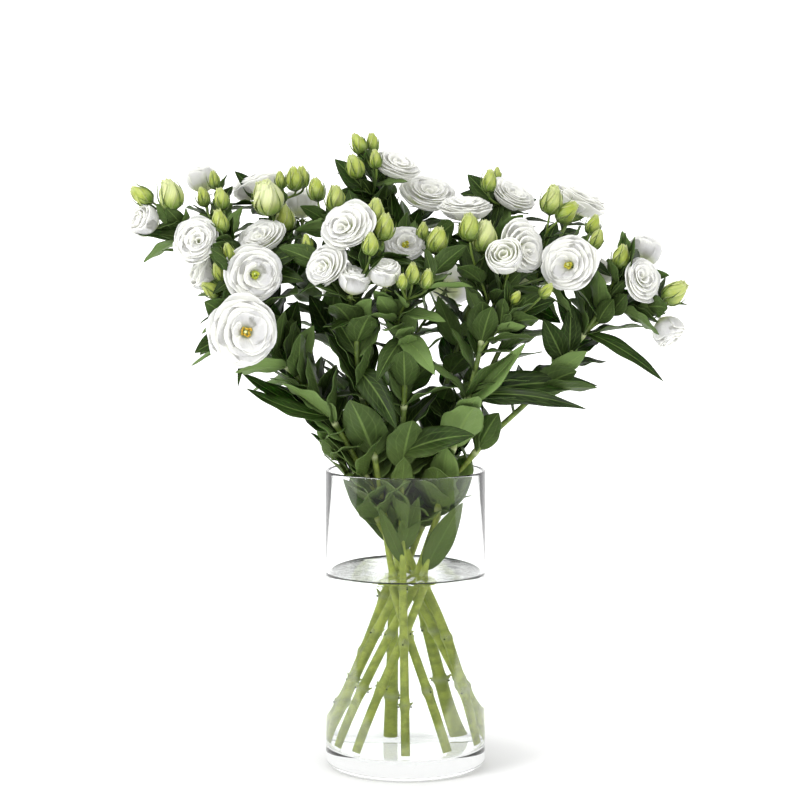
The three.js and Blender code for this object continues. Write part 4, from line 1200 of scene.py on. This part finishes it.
def leaf_material(colours):
    """Dark above and paler beneath, with a midrib, two side veins and fine feathering; the leaves near
    the rim and in the vase are painted paler, as painted light that stands in for the light which the
    glass keeps from them."""
    s = Finish("leaf", Specular_IOR_Level=0.12, Subsurface_Weight=0.06,
               Subsurface_Radius=(0.002, 0.004, 0.001), Subsurface_Scale=1.0)
    across, along = s.blade()
    tone, upper = tones_split(s)
    height = s.place()[1][2]
    cloud = s.group("mottle", Scale=45.0)
    share = s.calc("ADD", s.ramp(tone, 0.62, 1.0, 0.0, 1.0), s.times(cloud, 0.12), clamp=True)
    face = s.mix(share, colours.leaf_dark, colours.leaf_pale)
    back = s.mix(0.75, colours.leaf_pale, face)
    # painted light: near the rim and below it the leaves are mixed towards a paler colour, which stands
    # in for the light that the glass keeps from them
    body = s.mix(s.ramp(height, 0.32, 0.26, 0.0, 0.6), s.mix(upper, back, face), colours.leaf_lit_in_vase)
    middle = s.gap(across, 0.5)
    midrib = s.ramp(middle, 0.05, 0.012)
    lateral = s.gap(middle, s.ramp(along, 0.0, 0.5, 0.1, 0.27))
    sides = s.times(s.ramp(lateral, 0.03, 0.0), s.ramp(along, 0.95, 0.6), clamp=True)
    slant = s.less(s.times(along, 9.0), s.times(middle, 5.0))
    feather = s.group("veins", Across=slant, Count=1.0, Sharpness=14.0)
    lines = s.calc("MAXIMUM", midrib, s.times(sides, 0.35))
    shown = s.calc("ADD", s.times(lines, 0.42), s.times(feather, 0.07), clamp=True)
    s.give(Base_Color=s.mix(shown, body, colours.leaf_vein))
    relief = s.calc("ADD", lines, s.times(feather, 0.4))
    s.bump(s.less(1.0, relief), 0.0005, 0.5)
    s.give(Roughness=s.ramp(cloud, 0.0, 1.0, 0.42, 0.56))
    return s.material


def stalk_material(colours):
    """Darker above the vase, and lighter and yellower towards the cut end, which is partly the stalk's
    own colour and partly painted light that stands in for the light the glass keeps from it; pale rings
    at the nodes.
    """
    s = Finish("stalk", Subsurface_Weight=0.1, Subsurface_Radius=(0.003, 0.004, 0.001),
               Subsurface_Scale=1.0)
    wet_lit = s.ramp(s.place()[1][2], 0.33, 0.17)
    cloud = s.group("mottle", Scale=120.0)
    dry = s.mix(cloud, colours.stalk_green, colours.stalk_dark)
    # partly painted light: the stalk in the water is mixed towards a bright yellow-green, its own paler
    # colour there and a stand-in for the light that the glass keeps from it
    soaked = s.mix(s.times(cloud, 0.45), colours.stalk_wet_lit, colours.stalk_green)
    body = s.mix(wet_lit, dry, soaked)
    ring = s.times(s.tone(), 0.7, clamp=True)
    s.give(Base_Color=s.mix(ring, body, colours.stalk_node))
    s.bump(cloud, 0.0003, 0.4)
    s.give(Roughness=s.ramp(cloud, 0.0, 1.0, 0.38, 0.5))
    return s.material


def bud_material(colours):
    """Green at the foot and down the middle of each petal, lime above, with pale rims; buds about to
    open are whiter."""
    s = Finish("bud", Roughness=0.45, Subsurface_Weight=0.2,
               Subsurface_Radius=(0.003, 0.004, 0.001), Subsurface_Scale=1.0)
    across, along = s.blade()
    whitish, _ = tones_split(s)
    cloud = s.group("mottle", Scale=160.0)
    fresh = s.mix(s.ramp(along, 0.05, 0.6), colours.bud_green, colours.bud_lime)
    body = s.mix(s.times(whitish, s.ramp(along, 0.15, 0.7), clamp=True), fresh, colours.bud_pale)
    middle = s.gap(across, 0.5)
    ribbed = s.mix(s.ramp(middle, 0.14, 0.0, 0.0, 0.35), body, colours.bud_green)
    edge = s.calc("MAXIMUM", s.ramp(middle, 0.38, 0.5), s.ramp(along, 0.84, 1.0))
    rimmed = s.mix(s.times(edge, 0.42), ribbed, colours.bud_pale)
    s.give(Base_Color=s.mix(s.times(cloud, 0.12), rimmed, colours.bud_pale))
    veins = s.group("veins", Across=across, Count=7.0, Sharpness=3.0)
    s.bump(veins, 0.0003, 0.5)
    return s.material


def sepal_material(colours):
    """Green with darker clouds."""
    s = Finish("sepal", Roughness=0.5)
    cloud = s.group("mottle", Scale=200.0)
    s.give(Base_Color=s.mix(cloud, colours.stalk_dark, colours.stalk_green))
    return s.material


def stamen_material(colours):
    """From lime when unripe to golden brown, grainy with pollen."""
    s = Finish("anther", Roughness=0.8)
    cloud = s.group("mottle", Scale=900.0)
    ripe = s.mix(cloud, colours.stamen, POLLEN_BROWN)
    s.give(Base_Color=s.mix(s.tone(), colours.bud_lime, ripe))
    s.bump(cloud, 0.0003, 0.8)
    return s.material


def pistil_material(colours):
    """Lime with pale clouds."""
    s = Finish("pistil", Roughness=0.5)
    cloud = s.group("mottle", Scale=500.0)
    s.give(Base_Color=s.mix(cloud, colours.bud_lime, colours.bud_pale))
    return s.material


def clear_material(name, colour, ior, ripples=0.0, through=1.0):
    """Glass or water: light goes through, and soft clouds vary the tint. Water also has ripples on its
    level top, and the dark band at the wall, which is painted shade for the water line, lets less light
    through."""
    s = Finish(name, Transmission_Weight=through, Roughness=0.0, IOR=ior)
    if ripples:
        top = s.ramp(s.place()[1][2], (WATER_LEVEL - 2) * MM, (WATER_LEVEL - 1) * MM)
        waves = s.group("mottle", Scale=55.0, Low=0.2, High=0.8)
        s.bump(s.times(waves, top), ripples)
    cloud = s.group("mottle", Scale=14.0)
    s.give(Base_Color=s.mix(s.times(cloud, 0.25), colour, (1, 1, 1)))
    return s.material


# ---- what lights the studio, in metres ----
# the floor's glow: from and to which distance from the axis it changes, and its strengths there
GLOW_BEYOND = (0.09, 0.26, 0.0, 0.55)
GLOW_UNDER = (0.0755, 0.068, 0.0, 0.32)
# where the floor and the world in front begin and end to dim in the glass, and by how much
FRONT_FLOOR = (-0.16, -0.19)
FRONT_WORLD = (0.05, -0.25)
HORIZON = (0.04, -0.04)
DIMMED = 0.9
FLOOR_WHITE = (0.92, 0.92, 0.92)
FLOOR_SIDE = 3.5
FLOOR_FRONT = -3.4
FLOOR_BACK = 2.6
FLOOR_BEND = 0.8
WALL_HEIGHT = 3.0
# each light's place, what it looks at, its width and its power
LIGHTS = {"key_light": [(-1.7, -1.3, 1.9), (0, 0, 0.3), 1.0, 38],
          "fill_light": [(1.4, -2.0, 1.3), (0, 0, 0.4), 1.4, 16]}
LENS = 94.4
SENSOR = 36.0
CAMERA_SIDE = -0.0051


def mirrored(s):
    """1 for light that a glossy surface mirrors on its way to the eye, 0 for all other light."""
    return s.calc("MINIMUM", s.add("LightPath").outputs["Glossy Depth"], 1.0)


def floor_material():
    """Matt and pale. A glow keeps it white away from the vase, and under the vase, where the glass
    gathers the light. In front of the vase the glass mirrors hardly any of it, as through a filter."""
    s = Finish("studio_floor", Emission_Color=(1, 1, 1), Roughness=0.9, Specular_IOR_Level=0.1)
    place, parts = s.place()
    far = s.add("VectorMath", {"operation": "LENGTH"}, i0=place).outputs["Value"]
    beyond = s.ramp(far, *GLOW_BEYOND)
    under = s.ramp(far, *GLOW_UNDER)
    front = s.ramp(parts[1], *FRONT_FLOOR)
    dimmed = s.times(s.times(front, mirrored(s)), DIMMED)
    glow = s.times(s.calc("MAXIMUM", beyond, under), s.less(1.0, dimmed))
    s.give(Emission_Strength=glow, Base_Color=s.mix(dimmed, FLOOR_WHITE, (0, 0, 0)))
    return s.material


def make_materials():
    """Every material once, from the colours in the panel."""
    if MATERIALS:
        return
    colours = bpy.context.scene.bouquet_colours
    mottle_group()
    vein_group()
    MATERIALS.update(petal=petal_material(colours), leaf=leaf_material(colours),
                     stalk=stalk_material(colours), bud=bud_material(colours),
                     sepal=sepal_material(colours), anther=stamen_material(colours),
                     pistil=pistil_material(colours),
                     glass=clear_material("glass", colours.glass, GLASS_IOR),
                     water=clear_material("water", colours.water, WATER_IOR, RIPPLES),
                     # painted shade: the dark band along the water line
                     edge=clear_material("painted_water_line", WATER_LINE_SHADE, WATER_IOR, through=0.35))


LAYOUT = grow_all()


# ---- settings ----
def colour_setting(name, description, default):
    return bpy.props.FloatVectorProperty(name=name, description=description, default=default, size=3,
                                         min=0, max=1, subtype="COLOR")


class BouquetSizes(bpy.types.PropertyGroup):
    """Sizes that a user would change."""
    view_distance: bpy.props.FloatProperty(
        name="Camera distance", description="From the vase's axis to the camera", default=1.946,
        unit="LENGTH", subtype="DISTANCE")
    view_height: bpy.props.FloatProperty(
        name="Camera height", description="Height of the camera over the floor", default=0.502,
        unit="LENGTH", subtype="DISTANCE")
    view_pitch: bpy.props.FloatProperty(
        name="Camera pitch", description="How far the camera looks down", default=0.0813,
        unit="ROTATION", subtype="ANGLE")


class BouquetColours(bpy.types.PropertyGroup):
    """Colours of the flowers, leaves, glass and water."""
    petal_white: colour_setting("Petal", "Open petals", (0.85, 0.85, 0.785))
    petal_green: colour_setting("Throat", "Foot of the petals and young blooms", (0.60, 0.70, 0.22))
    leaf_dark: colour_setting("Dark leaf", "Upper side of most leaves", (0.009, 0.020, 0.002))
    leaf_pale: colour_setting("Pale leaf", "Waxy leaves and undersides", (0.140, 0.215, 0.065))
    # painted light: the paler colour of the leaves inside the vase stands in for the light that the glass
    # keeps from them
    leaf_lit_in_vase: colour_setting("Low leaf", "Leaves inside the vase", (0.19, 0.27, 0.075))
    leaf_vein: colour_setting("Leaf vein", "Midrib and side veins", (0.20, 0.30, 0.08))
    stalk_green: colour_setting("Stalk", "Stalks above the water", (0.15, 0.22, 0.035))
    stalk_dark: colour_setting("Dark stalk", "Darker streaks and sepals", (0.06, 0.10, 0.015))
    # partly painted light: brighter than the stalk's own colour in the water, standing in for the light
    # that the glass keeps from it
    stalk_wet_lit: colour_setting("Wet stalk", "Stalks in the water", (0.60, 0.70, 0.12))
    stalk_node: colour_setting("Node", "Rings where leaves sat", (0.58, 0.64, 0.34))
    bud_green: colour_setting("Bud foot", "Foot and creases of the buds", (0.11, 0.20, 0.02))
    bud_lime: colour_setting("Bud", "Most of a young bud", (0.33, 0.41, 0.03))
    bud_pale: colour_setting("Large bud", "Buds about to open", (0.66, 0.71, 0.38))
    stamen: colour_setting("Stamen", "Anthers", (0.66, 0.38, 0.02))
    glass: colour_setting("Glass", "Tint of the vase", (0.972, 0.985, 0.975))
    water: colour_setting("Water", "Tint of the water", (0.985, 0.995, 0.985))


# ---- operators ----
class BOUQUET_OT_vase(bpy.types.Operator):
    """Builds the glass cylinder with its thick base and melted rim"""
    bl_idname = "bouquet.vase"
    bl_label = "Glass vase"

    def execute(self, context):
        make_materials()
        piece = turned_skin(vase_profile()).make("glass_vase", [MATERIALS["glass"]])
        dress(piece, "clear_glass", "vase")
        return {"FINISHED"}


class BOUQUET_OT_water(bpy.types.Operator):
    """Fills the vase with water that climbs a little at the glass"""
    bl_idname = "bouquet.water"
    bl_label = "Water"

    def execute(self, context):
        make_materials()
        skin = turned_skin(water_profile())
        # adds the dark band of painted shade along the water line
        painted_water_line(skin)
        dress(skin.make("vase_water", [MATERIALS["water"], MATERIALS["edge"]]), "water", "water")
        return {"FINISHED"}


class BOUQUET_OT_stems(bpy.types.Operator):
    """Grows the eleven stems: stalks with branches, leaves, and buds in their sepals"""
    bl_idname = "bouquet.stems"
    bl_label = "Stems"

    def execute(self, context):
        make_materials()
        for index, stem in enumerate(LAYOUT):
            node = f"stem_{index + 1:02d}"
            skin, draws = stalk_skin(stem, 100 + index)
            dress(skin.make(node + "_stalk", [MATERIALS["stalk"], MATERIALS["sepal"]]), "green", node)
            skin = leaf_skin(stem["leaves"] + stem["small"], 200 + index)
            dress(skin.make(node + "_leaves", [MATERIALS["leaf"]]), "green", node)
            if stem["buds"]:
                skin = bud_skin(stem, draws)
                dress(skin.make(node + "_buds", [MATERIALS["bud"], MATERIALS["sepal"]]), "green", node)
        return {"FINISHED"}


class BOUQUET_OT_blooms(bpy.types.Operator):
    """Opens the blooms, petal by petal, and sets stamens and pistil in the open ones"""
    bl_idname = "bouquet.blooms"
    bl_label = "Blooms"

    def execute(self, context):
        make_materials()
        blooms = [bloom for stem in LAYOUT for bloom in stem["blooms"]]
        for seed, bloom in enumerate(blooms):
            name = bloom["name"]
            piece = bloom_skin(bloom, 300 + seed).make("petals_" + name, [MATERIALS["petal"]])
            dress(piece, "petal", "bloom_" + name)
            if bloom["kind"] == "open":
                skin = centre_skin(bloom, 400 + seed)
                piece = skin.make("stamens_" + name, [MATERIALS["anther"], MATERIALS["pistil"]])
                dress(piece, "stamen", "centre_" + name)
        return {"FINISHED"}


def aimed_light(name, place, target, width, power):
    """A square soft light at a place, looking at a target."""
    data = bpy.data.lights.new(name, "AREA")
    data.size = width
    data.energy = power
    light = bpy.data.objects.new(name, data)
    light.location = place
    light.rotation_euler = (Vector(target) - Vector(place)).to_track_quat("-Z", "Y").to_euler()
    bpy.context.scene.collection.objects.link(light)


def studio_world():
    """White all round and a little dimmer in front. The glass mirrors hardly any light from below the
    horizon in front, so that the stems behind it stay clear."""
    world = bpy.data.worlds.new("studio")
    world.use_nodes = True
    world.node_tree.nodes.clear()
    s = Shading(world.node_tree)
    parts = s.place("Generated")[1]
    level = s.ramp(parts[1], -0.5, 0.3, 0.9, 1.0)
    low = s.ramp(parts[2], *HORIZON)
    front = s.ramp(parts[1], *FRONT_WORLD)
    dimmed = s.times(s.times(low, front), mirrored(s))
    shown = s.times(level, s.less(1.0, s.times(dimmed, DIMMED)))
    light = s.add("Background", Strength=shown, Color=(1, 1, 1))
    s.add("OutputWorld", Surface=light.outputs[0])
    bpy.context.scene.world = world


def floor_sheet():
    """A pale floor that curves up into a back wall far behind, as one strip of quads."""
    turn = np.linspace(0, np.pi / 2, 16)
    y = np.concatenate([[FLOOR_FRONT], FLOOR_BACK + FLOOR_BEND * np.sin(turn), [FLOOR_BACK + FLOOR_BEND]])
    z = np.concatenate([[0.0], FLOOR_BEND * (1 - np.cos(turn)), [WALL_HEIGHT]])
    x = np.tile([-FLOOR_SIDE, FLOOR_SIDE], len(y))
    grid = np.column_stack([x, np.repeat(y, 2), np.repeat(z, 2)])
    here = np.arange(len(x)).reshape(-1, 2)
    faces = np.stack([here[:-1, 0], here[:-1, 1], here[1:, 1], here[1:, 0]], -1)
    mesh = bpy.data.meshes.new("floor")
    mesh.from_pydata(grid.tolist(), [], faces.tolist())
    mesh.shade_smooth()
    mesh.materials.append(floor_material())
    piece = bpy.data.objects.new("floor", mesh)
    bpy.context.scene.collection.objects.link(piece)


class BOUQUET_OT_stage(bpy.types.Operator):
    """Sets the pale floor, the soft lights and the camera"""
    bl_idname = "bouquet.stage"
    bl_label = "Stage"

    def execute(self, context):
        sizes = context.scene.bouquet_sizes
        floor_sheet()
        studio_world()
        for name, values in LIGHTS.items():
            aimed_light(name, *values)
        data = bpy.data.cameras.new("camera")
        data.lens = LENS
        data.sensor_width = SENSOR
        camera = bpy.data.objects.new("camera", data)
        camera.location = (CAMERA_SIDE, -sizes.view_distance, sizes.view_height)
        camera.rotation_euler = (math.pi / 2 - sizes.view_pitch, 0, 0)
        context.scene.collection.objects.link(camera)
        context.scene.camera = camera
        context.scene.view_settings.view_transform = "Standard"
        return {"FINISHED"}


class BOUQUET_PT_panel(bpy.types.Panel):
    """Lists the pieces of the bouquet, its colours and its stage"""
    bl_idname = "BOUQUET_PT_panel"
    bl_label = "Bouquet"
    bl_space_type = "VIEW_3D"
    bl_region_type = "UI"
    bl_category = "Bouquet"

    def draw(self, context):
        for operator in OPERATORS:
            self.layout.operator(operator.bl_idname)
        for group in (context.scene.bouquet_sizes, context.scene.bouquet_colours):
            for key in group.__annotations__:
                self.layout.prop(group, key)


OPERATORS = (BOUQUET_OT_vase, BOUQUET_OT_water, BOUQUET_OT_stems, BOUQUET_OT_blooms, BOUQUET_OT_stage)
CLASSES = (BouquetSizes, BouquetColours, *OPERATORS, BOUQUET_PT_panel)


def register():
    for cls in CLASSES:
        bpy.utils.register_class(cls)
    bpy.types.Scene.bouquet_sizes = bpy.props.PointerProperty(type=BouquetSizes)
    bpy.types.Scene.bouquet_colours = bpy.props.PointerProperty(type=BouquetColours)


def unregister():
    del bpy.types.Scene.bouquet_colours
    del bpy.types.Scene.bouquet_sizes
    for cls in reversed(CLASSES):
        bpy.utils.unregister_class(cls)


def main():
    register()
    bpy.ops.bouquet.vase()
    bpy.ops.bouquet.water()
    bpy.ops.bouquet.stems()
    bpy.ops.bouquet.blooms()
    bpy.ops.bouquet.stage()


if __name__ == "__main__":
    main()
